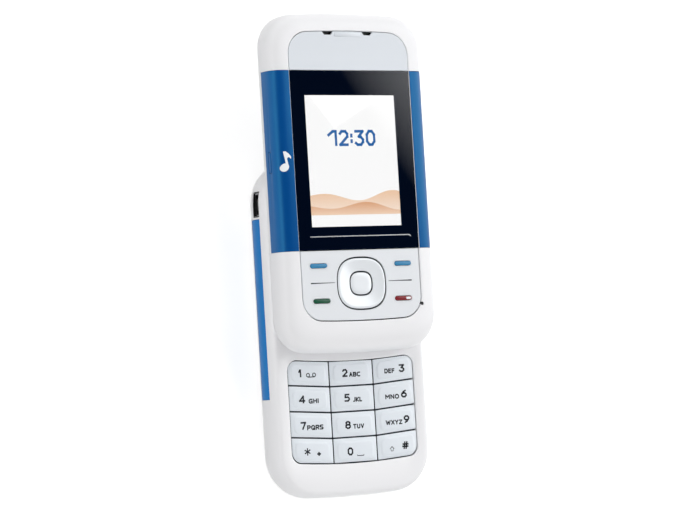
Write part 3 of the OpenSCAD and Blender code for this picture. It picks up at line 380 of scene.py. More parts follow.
def slide_ring(z, wall=0):
    """Outline of the sliding half at a height, or of its inside behind a wall."""
    share = slide_share(z, wall)
    i = slide_tuck(z) + wall
    radius = SLIDE_CORNER_R - share * (SLIDE_CORNER_R - PANEL_CORNER_R - LAND) - i * CORNER_FOLLOW
    foot = (CHIN - LAND) * share + i - HALF_L
    top = HALF_L - (TOP_BAND - LAND) * share - i
    return level(outline(HALF_W - SIDE_ROLL * share - i, foot, top, radius, STATIONS), z)


# ---- Making meshes ----


def to_scene(name, verts, faces):
    """Object with this mesh, its faces turned outwards."""
    mesh = bpy.data.meshes.new(name)
    mesh.from_pydata(verts, [], faces)
    work = bmesh.new()
    work.from_mesh(mesh)
    bmesh.ops.remove_doubles(work, verts=work.verts, dist=0.001 * MM)
    bmesh.ops.recalc_face_normals(work, faces=work.faces)
    work.to_mesh(mesh)
    work.free()
    piece = bpy.data.objects.new(name, mesh)
    bpy.context.scene.collection.objects.link(piece)
    return piece


def solid(name, rings, at=Vector(), looped=False):
    """Solid through rings of equally many points, with flat ends or joined into a loop."""
    count = len(rings[0])
    verts = [(Vector(p) + at) * MM for ring in rings for p in ring]
    faces = []
    for i in range(len(rings) if looped else len(rings) - 1):
        low = i * count
        high = (i + 1) % len(rings) * count
        for j in range(count):
            k = (j + 1) % count
            faces.append((low + j, low + k, high + k, high + j))
    if not looped:
        faces.append(tuple(reversed(range(count))))
        faces.append(tuple(range(len(verts) - count, len(verts))))
    return to_scene(name, verts, faces)


def prism(name, points, z0, z1, at=Vector()):
    """Straight solid between two heights."""
    return solid(name, [level(points, z0), level(points, z1)], at)


def tile(name, shape, z0, z1, rounding, at=Vector(), steps=3):
    """Flat piece whose top edge is rounded. shape(inset) gives its outline."""
    rings = [level(shape(0), z0)]
    for i in range(steps + 1):
        a = pi / 2 * i / steps
        rings.append(level(shape(rounding * (1 - cos(a))), z1 - rounding + rounding * sin(a)))
    return solid(name, rings, at)


def side_prism(name, section, y0, y1, at=Vector(), side=1):
    """Prism along y through a section of (x, z) points, on the right or, with side -1, on the left."""
    rings = [[(side * x, y, z) for x, z in section] for y in (y0, y1)]
    return solid(name, rings, at)


def bar_through_side(name, length, height, x0, x1, centre, at=Vector()):
    """Bar that points along x, with round ends along y."""
    points = stadium(length, height)
    rings = [[(x, centre.y + p[0], centre.z + p[1]) for p in points] for x in (x0, x1)]
    return solid(name, rings, at)


def settle(piece):
    """Turns a piece's modifiers into plain mesh."""
    graph = bpy.context.evaluated_depsgraph_get()
    done = bpy.data.meshes.new_from_object(piece.evaluated_get(graph))
    rough = piece.data
    piece.modifiers.clear()
    piece.data = done
    bpy.data.meshes.remove(rough)
    return piece


def combine(piece, operation, tools):
    """Cuts a piece by some tools, or keeps only what they cover, and uses the tools up."""
    for tool in tools:
        step = piece.modifiers.new(tool.name, "BOOLEAN")
        step.operation = operation
        step.solver = "EXACT"
        step.object = tool
    settle(piece)
    for tool in tools:
        bpy.data.objects.remove(tool)
    return piece


def carve(piece, *tools):
    return combine(piece, "DIFFERENCE", tools)


def overlap(piece, *tools):
    return combine(piece, "INTERSECT", tools)


def soften(piece, width, segments=2, angle=40):
    """Rounds the sharp edges of a piece."""
    step = piece.modifiers.new("soften", "BEVEL")
    step.width = width * MM
    step.segments = segments
    step.limit_method = "ANGLE"
    step.angle_limit = radians(angle)
    return settle(piece)


def join(name, pieces):
    """One object from several."""
    work = bmesh.new()
    for piece in pieces:
        work.from_mesh(piece.data)
        bpy.data.objects.remove(piece)
    mesh = bpy.data.meshes.new(name)
    work.to_mesh(mesh)
    work.free()
    whole = bpy.data.objects.new(name, mesh)
    bpy.context.scene.collection.objects.link(whole)
    return whole


def dress(piece, body, slot, finish, *nodes, crease=32, flat_faces=False):
    """Gives a finished mesh its shading, its material and its body, and hides the nodes it stands for."""
    piece.data.shade_smooth()
    piece.data.set_sharp_from_angle(angle=radians(crease))
    if flat_faces:
        step = piece.modifiers.new("weigh", "WEIGHTED_NORMAL")
        step.keep_sharp = True
        settle(piece)
    piece.data.materials.clear()
    piece.data.materials.append(finish)
    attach(piece, body)
    if nodes:
        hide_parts(*nodes)
    return piece


# ---- Finishes ----


def colour(code):
    """Linear colour from a six-figure web code."""
    channels = [int(code[i:i + 2], 16) / 255 for i in (0, 2, 4)]
    return [c / 12.92 if c <= 0.04045 else ((c + 0.055) / 1.055) ** 2.4 for c in channels] + [1]


def noise(tree, scale, detail=3):
    """Noise in the piece's own space, scale grains to the metre."""
    place = tree.nodes.new("ShaderNodeTexCoord")
    grain = tree.nodes.new("ShaderNodeTexNoise")
    grain.inputs["Scale"].default_value = scale
    grain.inputs["Detail"].default_value = detail
    tree.links.new(place.outputs["Object"], grain.inputs["Vector"])
    return grain.outputs["Fac"]


def ramp(tree, value, points, smooth=False):
    """Map Range node's result for a value: points is (from low, from high, to low, to high)."""
    node = tree.nodes.new("ShaderNodeMapRange")
    if smooth:
        node.interpolation_type = "SMOOTHSTEP"
    for name, number in zip(("From Min", "From Max", "To Min", "To Max"), points):
        node.inputs[name].default_value = number
    tree.links.new(value, node.inputs["Value"])
    return node.outputs["Result"]


def maths(tree, operation, first, second):
    """Result of one operation on two values."""
    node = tree.nodes.new("ShaderNodeMath")
    node.operation = operation
    tree.links.new(first, node.inputs[0])
    tree.links.new(second, node.inputs[1])
    return node.outputs["Value"]


def blend(tree, factor, low, high):
    """Colour between two, by a factor from 0 to 1."""
    node = tree.nodes.new("ShaderNodeMix")
    node.data_type = "RGBA"
    node.inputs["A"].default_value = low
    node.inputs["B"].default_value = high
    tree.links.new(factor, node.inputs["Factor"])
    return node.outputs["Result"]


def bump(tree, surface, height, strength, depth):
    """Relief on a surface from a height, with its depth in millimetres."""
    node = tree.nodes.new("ShaderNodeBump")
    node.inputs["Strength"].default_value = strength
    node.inputs["Distance"].default_value = depth * MM
    tree.links.new(height, node.inputs["Height"])
    tree.links.new(node.outputs["Normal"], surface.inputs["Normal"])


GLOSS_SPREAD = 0.04


def moulded(name, code, roughness, vary=0.03, patch=70, grain=1500, relief=0.0008, **sockets):
    """Plastic or painted surface: faint patches of shade, uneven gloss and a fine relief in mm."""
    finish = bpy.data.materials.new(name)
    finish.use_nodes = True
    tree = finish.node_tree
    surface = tree.nodes["Principled BSDF"]
    shade = colour(code)
    low = [c * (1 - vary) for c in shade[:3]] + [1]
    high = [min(1, c * (1 + vary)) for c in shade[:3]] + [1]
    tree.links.new(blend(tree, noise(tree, patch), low, high), surface.inputs["Base Color"])
    gloss = (0, 1, roughness * (1 - GLOSS_SPREAD), roughness * (1 + GLOSS_SPREAD))
    tree.links.new(ramp(tree, noise(tree, patch * 6), gloss), surface.inputs["Roughness"])
    if relief:
        bump(tree, surface, noise(tree, grain, 2), 0.5, relief)
    for socket, value in sockets.items():
        surface.inputs[socket.replace("_", " ")].default_value = value
    return finish


def brushed(name, code, roughness, stretch=(1, 40, 40)):
    """Metal with fine scratches, stretched in the piece's own space."""
    finish = moulded(name, code, roughness, vary=0.05, relief=0)
    tree = finish.node_tree
    surface = tree.nodes["Principled BSDF"]
    surface.inputs["Metallic"].default_value = 1
    place = tree.nodes.new("ShaderNodeTexCoord")
    mapping = tree.nodes.new("ShaderNodeMapping")
    mapping.inputs["Scale"].default_value = stretch
    scratches = tree.nodes.new("ShaderNodeTexNoise")
    scratches.inputs["Scale"].default_value = 150
    tree.links.new(place.outputs["Object"], mapping.inputs["Vector"])
    tree.links.new(mapping.outputs["Vector"], scratches.inputs["Vector"])
    bump(tree, surface, scratches.outputs["Fac"], 0.25, 0.01)
    return finish


def lit(name, code, low_code=None, span_mm=(0, 1)):
    """Glowing part of the display: one shade, or blending upwards from low_code over span_mm."""
    finish = moulded(name, code, 0.5, vary=0)
    tree = finish.node_tree
    surface = tree.nodes["Principled BSDF"]
    tree.links.remove(surface.inputs["Base Color"].links[0])
    surface.inputs["Base Color"].default_value = (0, 0, 0, 1)
    surface.inputs["Emission Strength"].default_value = 1
    shade = colour(code)
    if low_code is None:
        ripple = [c * 0.985 for c in shade[:3]] + [1]
        glow = blend(tree, noise(tree, 40), shade, ripple)
    else:
        place = tree.nodes.new("ShaderNodeTexCoord")
        axis = tree.nodes.new("ShaderNodeSeparateXYZ")
        tree.links.new(place.outputs["Object"], axis.inputs["Vector"])
        foot, top = span_mm
        climb = ramp(tree, axis.outputs["Y"], (foot * MM, top * MM, 0, 1))
        glow = blend(tree, climb, colour(low_code), shade)
    tree.links.new(glow, surface.inputs["Emission Color"])
    return finish


PEARL = (0.15, 0.72, 1, 1)
WHITE = moulded("gloss_white", "F2F2F4", 0.28, vary=0.004)
BLUE = moulded("gloss_blue", "00478E", 0.36, vary=0.02, Specular_IOR_Level=1.0, Specular_Tint=PEARL)
STRIP_BLUE = moulded("strip_blue", "0A7AC6", 0.4, vary=0.03, Specular_IOR_Level=0.15)
SILVER_PANEL = moulded("silver_panel", "DBE0E6", 0.33, vary=0.006, patch=120, Metallic=0.08)
FUNCTION_SILVER = moulded("function_silver", "E6E9ED", 0.33, vary=0.005, patch=120, Metallic=0.05)
KEY_SILVER = moulded("key_silver", "E6ECF2", 0.3, vary=0.006, patch=200, Metallic=0.04)
NAV_SILVER = moulded("nav_silver", "EEF2F6", 0.24, vary=0.005, patch=150, Metallic=0.1)
LEGEND = moulded("legend_grey", "121823", 0.5, vary=0.05)
WHITE_PRINT = moulded("white_print", "F7F9FB", 0.4, vary=0.01)
SOFT_BLUE = moulded("soft_key_blue", "2E80AE", 0.25, vary=0.05)
SEND_GREEN = moulded("send_green", "004D32", 0.25, vary=0.05)
END_RED = moulded("end_red", "7E0E1A", 0.25, vary=0.05)
# Painted light: the glass keeps the lamps off what lies under it, so its navy black is given a very faint
# glow in their place
BLACK_WITH_PAINTED_GLOW = moulded("window_black_painted_glow", "00051C", 0.3, vary=0.1, Specular_IOR_Level=0.0,
                Emission_Color=(0, 0.0022, 0.0095, 1), Emission_Strength=1.0)
DARK = moulded("dark_plastic", "0D0E11", 0.35, vary=0.15)
# Dark grey that stands in for the shade in gaps and grooves: painted shade
GAP_PAINTED_SHADE = moulded("gap_painted_shade", "1B2129", 0.6, vary=0.1)
STEEL = brushed("stamped_steel", "B9BBBF", 0.3)
SOCKET_STEEL = brushed("socket_steel", "77797D", 0.3)
BOARD = moulded("solder_mask", "17472A", 0.4, vary=0.1)
WRAP = moulded("battery_wrap", "2A2C31", 0.5, vary=0.1)
SILICONE = moulded("silicone", "3A414B", 0.6, vary=0.05)
AMBER = moulded("flex_amber", "B5702A", 0.35, vary=0.1)
LENS_BLACK = moulded("lens_black", "050507", 0.06, vary=0.1, relief=0, Coat_Weight=1.0)
WINDOW_CLEAR = moulded("clear_window", "FFFFFF", 0.01, vary=0, relief=0, IOR=1.5, Transmission_Weight=1.0)


def dress_node(node, finish):
    """Gives a node that keeps its own shape its material."""
    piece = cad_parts[node]
    piece.data.materials.clear()
    piece.data.materials.append(finish)
    piece.data.shade_smooth()
    piece.data.set_sharp_from_angle(angle=radians(30))


# ---- Base half ----


def base_front_cover():
    """White frame round the keypad, with a soft lip and a recess for the rail plate."""
    lip = 0.22
    ceiling = BASE_T - WALL
    rings = [base_ring(z) for z in span(BASE_LEVELS, FRONT_SEAM_Z, BASE_T)]
    for i in range(4):
        a = pi / 2 * i / 3
        rings.append(level(pad_outline(-lip * (1 - sin(a)), STATIONS), BASE_T - lip * (1 - cos(a))))
    rings.append(level(pad_outline(0, STATIONS), ceiling))
    squeeze = 1 - WALL / (BASE_T - BASE_WIDE_Z)
    inside = span([BASE_WIDE_Z + (z - BASE_WIDE_Z) * squeeze for z in BASE_LEVELS], FRONT_SEAM_Z, ceiling)
    rings += [base_ring(z, WALL) for z in reversed(inside)]
    piece = solid("base_frame", rings, BASE, looped=True)
    low, high = reach("base_rail_plate")
    middle = (low + high) / 2
    half_x = (high.x - low.x) / 2 + RAIL_PLATE_FIT
    half_y = (high.y - low.y) / 2 + RAIL_PLATE_FIT
    recess = shift(round_rectangle(half_x, half_y, [RAIL_PLATE_CORNER_R] * 4), middle.x, middle.y)
    carve(piece, prism("recess", recess, BASE_T - RAIL_PLATE_SINK, BASE_T + 1))
    dress(piece, "base", "white_shell", WHITE, "base_front_cover")


def strip_section(z0, z1, outside, inside):
    """Section of the base half's side between two depths, as (x, z) points."""
    levels = span(BASE_LEVELS, z0, z1)
    out = [(HALF_W - base_inset(z) - outside, z) for z in levels]
    back = [(HALF_W - base_inset(z) - inside, z) for z in reversed(levels)]
    return out + back


def rocker_opening(x0, x1):
    """Bar through the right side that leaves the volume rocker its room."""
    fit = 2 * ROCKER_FIT
    return bar_through_side("rocker_hole", ROCKER_L + fit, ROCKER_H + fit, x0, x1, ROCKER, BASE)


def rear_shell():
    """White side walls and back, with their recesses and holes."""
    outside = [base_ring(z) for z in span(BASE_LEVELS, 0, FRONT_SEAM_Z)]
    inside = [base_ring(z, BACK_WALL) for z in (FRONT_SEAM_Z, FLOOR_TOP_Z)]
    piece = solid("rear_casing", outside + inside, BASE)
    low, high = reach("battery")
    socket_low, socket_high = reach("data_socket")
    fit = 0.05
    cover_space = rectangle(-HALF_W - 5, HALF_W + 5, -HALF_L - 5, COVER_TOP)
    battery_bay = rectangle(low.x - 0.3, high.x + 0.3, low.y - 0.1, high.y + 0.1)
    socket_hole = rectangle(-HALF_W - 1, socket_high.x, socket_low.y - fit, socket_high.y + fit)
    camera_hole = shift(circle(CAMERA_R + fit, 64), 0, CAMERA_Y)
    tools = [
        prism("cover_space", cover_space, -1, BACK_SEAM_Z, BASE),
        prism("battery_bay", battery_bay, -1, BATTERY_BAY_TOP_Z),
        prism("socket_hole", socket_hole, socket_low.z - fit, FRONT_SEAM_Z + 1),
        prism("camera_hole", camera_hole, -1, 1, BASE),
        rocker_opening(HALF_W - 6, HALF_W + 2),
    ]
    for side in (-1, 1):
        section = strip_section(BACK_SEAM_Z - 0.2, FRONT_SEAM_Z + 0.5, -1, STRIP_T)
        tools.append(side_prism("strip_recess", section, STRIP_FOOT, STRIP_TOP, BASE, side))
    for i in range(-2, 3):
        slot = [(y, x) for x, y in reversed(stadium(SOUND_SLOT_L, SOUND_SLOT_W))]
        slot = shift(slot, SPEAKER_X + SOUND_SLOT_PITCH * i, CAMERA_Y)
        tools.append(prism("sound_slot", slot, -1, BACK_WALL, BASE))
    carve(piece, *tools)
    dress(piece, "base", "white_shell", WHITE, "rear_shell")


def battery_cover():
    """Sliding door over the battery, which is also the foot of the back."""
    top_z = BACK_SEAM_Z - 0.1
    outside = [base_ring(z) for z in span(BASE_LEVELS, 0, top_z)]
    inside = [base_ring(z, COVER_WALL) for z in (top_z, COVER_FLOOR_Z)]
    piece = solid("battery_door", outside + inside, BASE)
    carve(piece, prism("far_end", rectangle(-40, 40, COVER_TOP - 0.1, HALF_L + 5), -1, 6, BASE))
    dress(piece, "battery_cover", "white_shell", WHITE, "battery_cover")


def side_strip(name, side, *tools):
    """Blue strip sunk in one side of the base half."""
    fit = 0.05
    section = strip_section(BACK_SEAM_Z, FRONT_SEAM_Z - 0.02, STRIP_SINK, STRIP_T - fit)
    piece = side_prism(name, section, STRIP_FOOT + fit, STRIP_TOP - fit, BASE, side)
    if tools:
        carve(piece, *tools)
    soften(piece, 0.1)
    return piece


def side_strips():
    """Both strips; the right one has a hole for the volume rocker."""
    left = side_strip("blue_strip_left", -1)
    dress(left, "base", "blue_strip", STRIP_BLUE, "side_strip_left")
    right = side_strip("blue_strip_right", 1, rocker_opening(15, 30))
    dress(right, "base", "blue_strip", STRIP_BLUE, "side_strip_right")


def volume_rocker():
    """Long key in the right strip that follows the side."""
    depth = 3
    whole = strip_section(BACK_SEAM_Z, FRONT_SEAM_Z, 0, depth)
    bar = bar_through_side("rocker_key", ROCKER_L, ROCKER_H, HALF_W - depth, HALF_W + 1, ROCKER, BASE)
    overlap(bar, side_prism("side", whole, STRIP_FOOT, STRIP_TOP, BASE))
    soften(bar, 0.15)
    dress(bar, "volume_rocker", "blue_strip", STRIP_BLUE, "volume_rocker")


def socket_lining():
    """Bright metal lining and tongue inside the data socket's shell."""
    low, high = reach("data_socket")
    middle = (low + high) / 2
    mouth = low.x + 0.7
    rim = 0.45
    wall = 0.16
    half_y = (high.y - low.y) / 2 - rim
    half_z = (high.z - low.z) / 2 - rim

    def loop(depth, half_y, half_z, radius):
        points = round_rectangle(half_y, half_z, [radius] * 4)
        return [(mouth + depth, middle.y + p[0], middle.z + p[1]) for p in points]

    rings = [loop(depth, half_y, half_z, 0.6) for depth in (0, 1)]
    rings += [loop(depth, half_y - wall, half_z - wall, 0.5) for depth in (1, 0)]
    lining = solid("lining", rings, looped=True)
    tongue = solid("tongue", [loop(depth, 1.3, 0.34, 0.1) for depth in (0.5, 1.6)])
    dress(join("socket_lining", [lining, tongue]), "base", "plate_steel", STEEL)


# ---- Keypad ----

COLUMN_EDGES = (-PAD_HALF_W, -MIDDLE_HALF_W, MIDDLE_HALF_W, PAD_HALF_W)
KEYS = ("key_1", "key_2", "key_3", "key_4", "key_5", "key_6",
        "key_7", "key_8", "key_9", "key_star", "key_0", "key_hash")


def bent(points, cx, cy, z):
    """Points round a key's centre, bent along the arc of its row."""
    return [(x + cx, y + cy + row_rise(x + cx), z) for x, y in points]


def key_ring(half_x, half_y, radii, inset, cx, cy, z):
    """Outline of a key at a height, drawn in by inset and bent along its row."""
    inner = [max(0.05, r - inset) for r in radii]
    return bent(round_rectangle(half_x - inset, half_y - inset, inner), cx, cy, z)


# Pairs of inset and rise up a pillow's edge, which is a soft S
PILLOW_EDGE = ((-0.2, 0), (-0.07, 0.02), (0.05, 0.08), (0.15, 0.15), (0.28, 0.205), (0.45, 0.235),
               (0.8, PILLOW_H))
PILLOW_R = 1.5
# Silver caps sit on dark cores, which are painted shade, so the gaps round them look dark
CAP_T = 0.26
SHADE_CORE_INSET = 0.03


SHARP_R = 0.2
KEY_BEVEL = 0.12
PILLOW_IN_X = 1
PILLOW_IN_Y = 0.75


def key_middle(index):
    """Middle of a key's cell, before its row is bent."""
    col = index % 3
    row = index // 3
    return (COLUMN_EDGES[col + 1] + COLUMN_EDGES[col]) / 2, PAD_TOP - (row + 0.5) * ROW


def key_tile(index):
    """A key without the gaps round it: half width, half height, corner radii and middle."""
    col = index % 3
    row = index // 3
    x0 = COLUMN_EDGES[col] + (PAD_GAP if col == 0 else KEY_GAP / 2)
    x1 = COLUMN_EDGES[col + 1] - (PAD_GAP if col == 2 else KEY_GAP / 2)
    y1 = PAD_TOP - row * ROW - (PAD_GAP if row == 0 else KEY_GAP / 2)
    y0 = PAD_TOP - (row + 1) * ROW + (PAD_GAP if row == 3 else KEY_GAP / 2)
    outer = PAD_CORNER_R - PAD_GAP
    radii = [outer if (row, col) == corner else SHARP_R for corner in ((3, 2), (0, 2), (0, 0), (3, 0))]
    return (x1 - x0) / 2, (y1 - y0) / 2, radii, (x0 + x1) / 2, (y0 + y1) / 2


def number_key(index):
    """Silver cap with a raised pillow, on a dark core whose colour is painted shade in the gaps round it.
    """
    key = KEYS[index]
    half_x, half_y, radii, cx, cy = key_tile(index)
    cap_foot = KEY_TOP_Z - CAP_T
    shade_core = [key_ring(half_x, half_y, radii, SHADE_CORE_INSET, cx, cy, z) for z in (KEY_TOP_Z - KEY_T, cap_foot)]
    dress(solid(key + "_shade_core", shade_core, BASE), key, "dark_plastic", GAP_PAINTED_SHADE, key, crease=50)
    rings = [key_ring(half_x, half_y, radii, 0, cx, cy, cap_foot)]
    for i in range(4):
        a = pi / 2 * i / 3
        z = KEY_TOP_Z - KEY_BEVEL + KEY_BEVEL * sin(a)
        rings.append(key_ring(half_x, half_y, radii, KEY_BEVEL * (1 - cos(a)), cx, cy, z))
    cx, cy = key_middle(index)
    cell_w = COLUMN_EDGES[index % 3 + 1] - COLUMN_EDGES[index % 3]
    half_x = (cell_w - KEY_GAP) / 2 - PILLOW_IN_X
    half_y = (ROW - KEY_GAP) / 2 - PILLOW_IN_Y
    for inset, rise in PILLOW_EDGE:
        rings.append(key_ring(half_x, half_y, [PILLOW_R] * 4, inset, cx, cy, KEY_TOP_Z + rise))
    dress(solid(key + "_cap", rings, BASE), key, "key_silver", KEY_SILVER, key, crease=50)


# What each key says: text, then left, right, low and high edge from the key's centre
LEGENDS = {
    "key_1": (("1", -3.2, -2.3, -0.9, 1.25),),
    "key_2": (("2", -2.95, -1.3, -0.95, 1.2), ("ABC", -0.8, 2.75, -1.0, 0.3)),
    "key_3": (("DEF", -3.0, 0.3, -1.1, 0.2), ("3", 1.7, 3.5, -0.95, 1.2)),
    "key_4": (("4", -3.5, -1.5, -0.95, 1.2), ("GHI", -0.45, 2.65, -1.1, 0.2)),
    "key_5": (("5", -2.75, -1.0, -0.7, 1.45), ("JKL", -0.05, 2.85, -0.85, 0.45)),
    "key_6": (("MNO", -3.2, 1.25, -1.2, 0.1), ("6", 1.95, 3.8, -1.0, 1.15)),
    "key_7": (("7", -3.45, -1.7, -1.05, 1.1), ("PQRS", -1.45, 3.65, -1.25, 0.1)),
    "key_8": (("8", -2.95, -1.2, -1.1, 1.05), ("TUV", -0.5, 3.0, -1.15, 0.15)),
    "key_9": (("WXYZ", -3.55, 1.85, -1.25, 0.05), ("9", 2.35, 4.15, -1.05, 1.1)),
    "key_star": (("+", 1.2, 2.4, -1.35, -0.2),),
    "key_0": (("0", -2.7, -0.95, -1.3, 0.85),),
    "key_hash": (("#", 1.3, 3.45, -1.15, 1.0),),
}

# Lines of each letter in a box one wide and one high; "/" lifts the pen
LETTER_LINES = {
    "0": ".3,0 .7,0 1,.25 1,.75 .7,1 .3,1 0,.75 0,.25 .3,0",
    "1": "0,.72 .6,1 1,1 1,0",
    "2": "0,.82 .25,1 .75,1 1,.8 1,.6 0,0 1,0",
    "3": "0,1 1,1 .45,.6 .75,.56 1,.38 1,.2 .72,0 .25,0 0,.12",
    "4": ".75,0 .75,1 0,.28 1,.28",
    "5": ".95,1 .1,1 .05,.56 .7,.6 1,.4 1,.2 .7,0 0,0",
    "6": ".85,1 .4,.82 0,.4 0,.2 .28,0 .72,0 1,.2 1,.4 .72,.6 .1,.55",
    "7": "0,1 1,1 .35,0",
    "8": ".3,.54 .07,.7 .07,.86 .3,1 .7,1 .93,.86 .93,.7 .7,.54 .3,.54 "
         "0,.38 0,.18 .3,0 .7,0 1,.18 1,.38 .7,.54",
    "9": ".15,0 .6,.18 1,.6 1,.8 .72,1 .28,1 0,.8 0,.6 .28,.4 .9,.45",
    "A": "0,0 .5,1 1,0 / .2,.34 .8,.34",
    "B": "0,.53 .75,.53 .94,.66 .94,.86 .75,1 0,1 0,0 .75,0 1,.14 1,.39 .75,.53",
    "C": "1,1 .3,1 0,.75 0,.25 .3,0 1,0",
    "D": "0,0 0,1 .65,1 1,.72 1,.28 .65,0 0,0",
    "E": "1,1 0,1 0,0 1,0 / 0,.52 .85,.52",
    "F": "1,1 0,1 0,0 / 0,.5 .85,.5",
    "G": "1,1 .3,1 0,.75 0,.25 .3,0 1,0 1,.48 .6,.48",
    "H": "0,0 0,1 / 1,0 1,1 / 0,.52 1,.52",
    "I": "0,0 0,1",
    "J": "1,1 1,.25 .7,0 0,0",
    "K": "0,0 0,1 / 1,1 .1,.5 1,0",
    "L": "0,1 0,0 1,0",
    "M": "0,0 0,1 .5,.4 1,1 1,0",
    "N": "0,0 0,1 1,0 1,1",
    "O": ".3,0 .7,0 1,.25 1,.75 .7,1 .3,1 0,.75 0,.25 .3,0",
    "P": "0,0 0,1 .72,1 1,.85 1,.6 .72,.45 0,.45",
    "Q": ".3,0 .7,0 1,.25 1,.75 .7,1 .3,1 0,.75 0,.25 .3,0 / .6,.3 1,-.05",
    "R": "0,0 0,1 .72,1 1,.85 1,.6 .72,.45 0,.45 / .5,.45 1,0",
    "S": "1,1 .25,1 0,.87 0,.65 .25,.53 .75,.47 1,.35 1,.13 .75,0 0,0",
    "T": "0,1 1,1 / .5,1 .5,0",
    "U": "0,1 0,.25 .3,0 .7,0 1,.25 1,1",
    "V": "0,1 .5,0 1,1",
    "W": "0,1 .25,0 .5,.8 .75,0 1,1",
    "X": "0,0 1,1 / 0,1 1,0",
    "Y": "0,1 .5,.5 1,1 / .5,.5 .5,0",
    "Z": "0,1 1,1 0,0 1,0",
    "#": ".22,0 .42,1 / .6,0 .8,1 / 0,.32 .95,.32 / .07,.68 1,.68",
    "+": "0,.5 1,.5 / .5,0 .5,1",
    ":": "0,.2 0,.32 / 0,.62 0,.74",
}
# Widths that differ from the usual one, as shares of a letter's height
LETTER_WIDTHS = {"I": 0, ":": 0, "J": 0.45, "L": 0.5, "E": 0.55, "F": 0.55,
                 "O": 0.8, "Q": 0.8, "M": 0.9, "W": 1.1}
LETTER_WIDTH = 0.7
LETTER_GAP = 0.4
STROKE_OVERRUN = 0.42


def lettering(text, x0, x1, y0, y1, z, weight, at=Vector()):
    """Flat letters of short bars that fill a box."""
    widths = [LETTER_WIDTHS.get(letter, LETTER_WIDTH) for letter in text]
    unit = (x1 - x0 - weight) / (sum(widths) + LETTER_GAP * (len(text) - 1))
    left = x0 + weight / 2
    verts = []
    for letter, width in zip(text, widths):
        for line in LETTER_LINES[letter].split("/"):
            spots = []
            for pair in line.split():
                x, y = (float(part) for part in pair.split(","))
                spots.append(Vector((left + x * width * unit, y0 + weight / 2 + y * (y1 - y0 - weight))))
            for start, end in zip(spots, spots[1:]):
                forward = (end - start).normalized() * weight * STROKE_OVERRUN
                aside = Vector((-forward.y, forward.x)).normalized() * weight / 2
                for spot in (start - forward - aside, end + forward - aside,
                             end + forward + aside, start - forward + aside):
                    verts.append((Vector((spot.x, spot.y, z)) + at) * MM)
        left += (width + LETTER_GAP) * unit
    faces = [tuple(range(i, i + 4)) for i in range(0, len(verts), 4)]
    return to_scene("letters", verts, faces)


def flat(name, points, z, at=Vector()):
    """One flat face that looks up."""
    verts = [(Vector((x, y, z)) + at) * MM for x, y in points]
    return to_scene(name, verts, [tuple(range(len(verts)))])


def stroke(name, points, width, z, at=Vector()):
    """Flat line of even width along some points."""
    left = []
    right = []
    for i, p in enumerate(points):
        before = Vector(points[max(i - 1, 0)])
        after = Vector(points[min(i + 1, len(points) - 1)])
        along = (after - before).normalized()
        across = Vector((-along.y, along.x)) * width / 2
        left.append(tuple(Vector(p) + across))
        right.append(tuple(Vector(p) - across))
    verts = [(Vector((x, y, z)) + at) * MM for x, y in right + left]
    count = len(points)
    faces = [(i, i + 1, count + i + 1, count + i) for i in range(count - 1)]
    return to_scene(name, verts, faces)


def voicemail_mark(at, z):
    """Two rings on a line."""
    pieces = [stroke("ring", arc((x, -0.4), 0.48, 0, 360, 20), 0.26, z, at) for x in (-0.22, 1.68)]
    pieces.append(stroke("line", [(-0.3, -0.94), (1.76, -0.94)], 0.26, z, at))
    return pieces


def star_mark(at, z):
    """Asterisk of three strokes."""
    pieces = []
    for turn in (90, 30, 150):
        x = cos(radians(turn))
        y = sin(radians(turn))
        pieces.append(stroke("ray", [(-1.75 - x, -y), (-1.75 + x, y)], 0.34, z + turn * 1e-5, at))
    return pieces


def shift_mark(at, z):
    """Hollow arrow that points up."""
    tip = [(-2.0, -0.2), (-2.65, -0.85), (-2.32, -0.85), (-2.32, -1.4), (-1.68, -1.4),
           (-1.68, -0.85), (-1.35, -0.85), (-2.0, -0.2)]
    return [stroke("arrow", tip, 0.2, z, at)]


DIGIT_WEIGHT = 0.45
LETTER_WEIGHT = 0.33
PRINT_LIFT = 0.01


def legends():
    """Prints on the pillows, each a piece of its own on its key."""
    z = KEY_TOP_Z + PILLOW_H + PRINT_LIFT
    for index, key in enumerate(KEYS):
        cx, cy = key_middle(index)
        at = Vector((cx, cy + row_rise(cx), 0)) + BASE
        pieces = []
        for text, x0, x1, y0, y1 in LEGENDS[key]:
            weight = DIGIT_WEIGHT if len(text) == 1 else LETTER_WEIGHT
            pieces.append(lettering(text, x0, x1, y0, y1, z, weight, at))
        if key == "key_1":
            pieces += voicemail_mark(at, z)
        if key == "key_star":
            pieces += star_mark(at, z)
        if key == "key_0":
            tray = [(0.35, -1.2), (0.35, -1.5), (2.4, -1.5), (2.4, -1.2)]
            pieces.append(stroke("space", tray, 0.22, z, at))
        if key == "key_hash":
            pieces += shift_mark(at, z)
        piece = join("legend_" + key, pieces)
        dress(piece, key, "dark_plastic", LEGEND)


def touch_ridge():
    """Raised line under the 5."""
    cx, cy = key_middle(KEYS.index("key_5"))
    length = 5.2
    width = 0.36
    pillow_z = KEY_TOP_Z + PILLOW_H

    def shape(d):
        return shift(stadium(length - 2 * d, width - 2 * d), cx + 0.2, cy - 1.62)

    ridge = tile("five_ridge", shape, pillow_z - 0.02, pillow_z + 0.04, 0.05, BASE)
    dress(ridge, "key_5", "key_silver", KEY_SILVER)


# ---- Sliding half ----


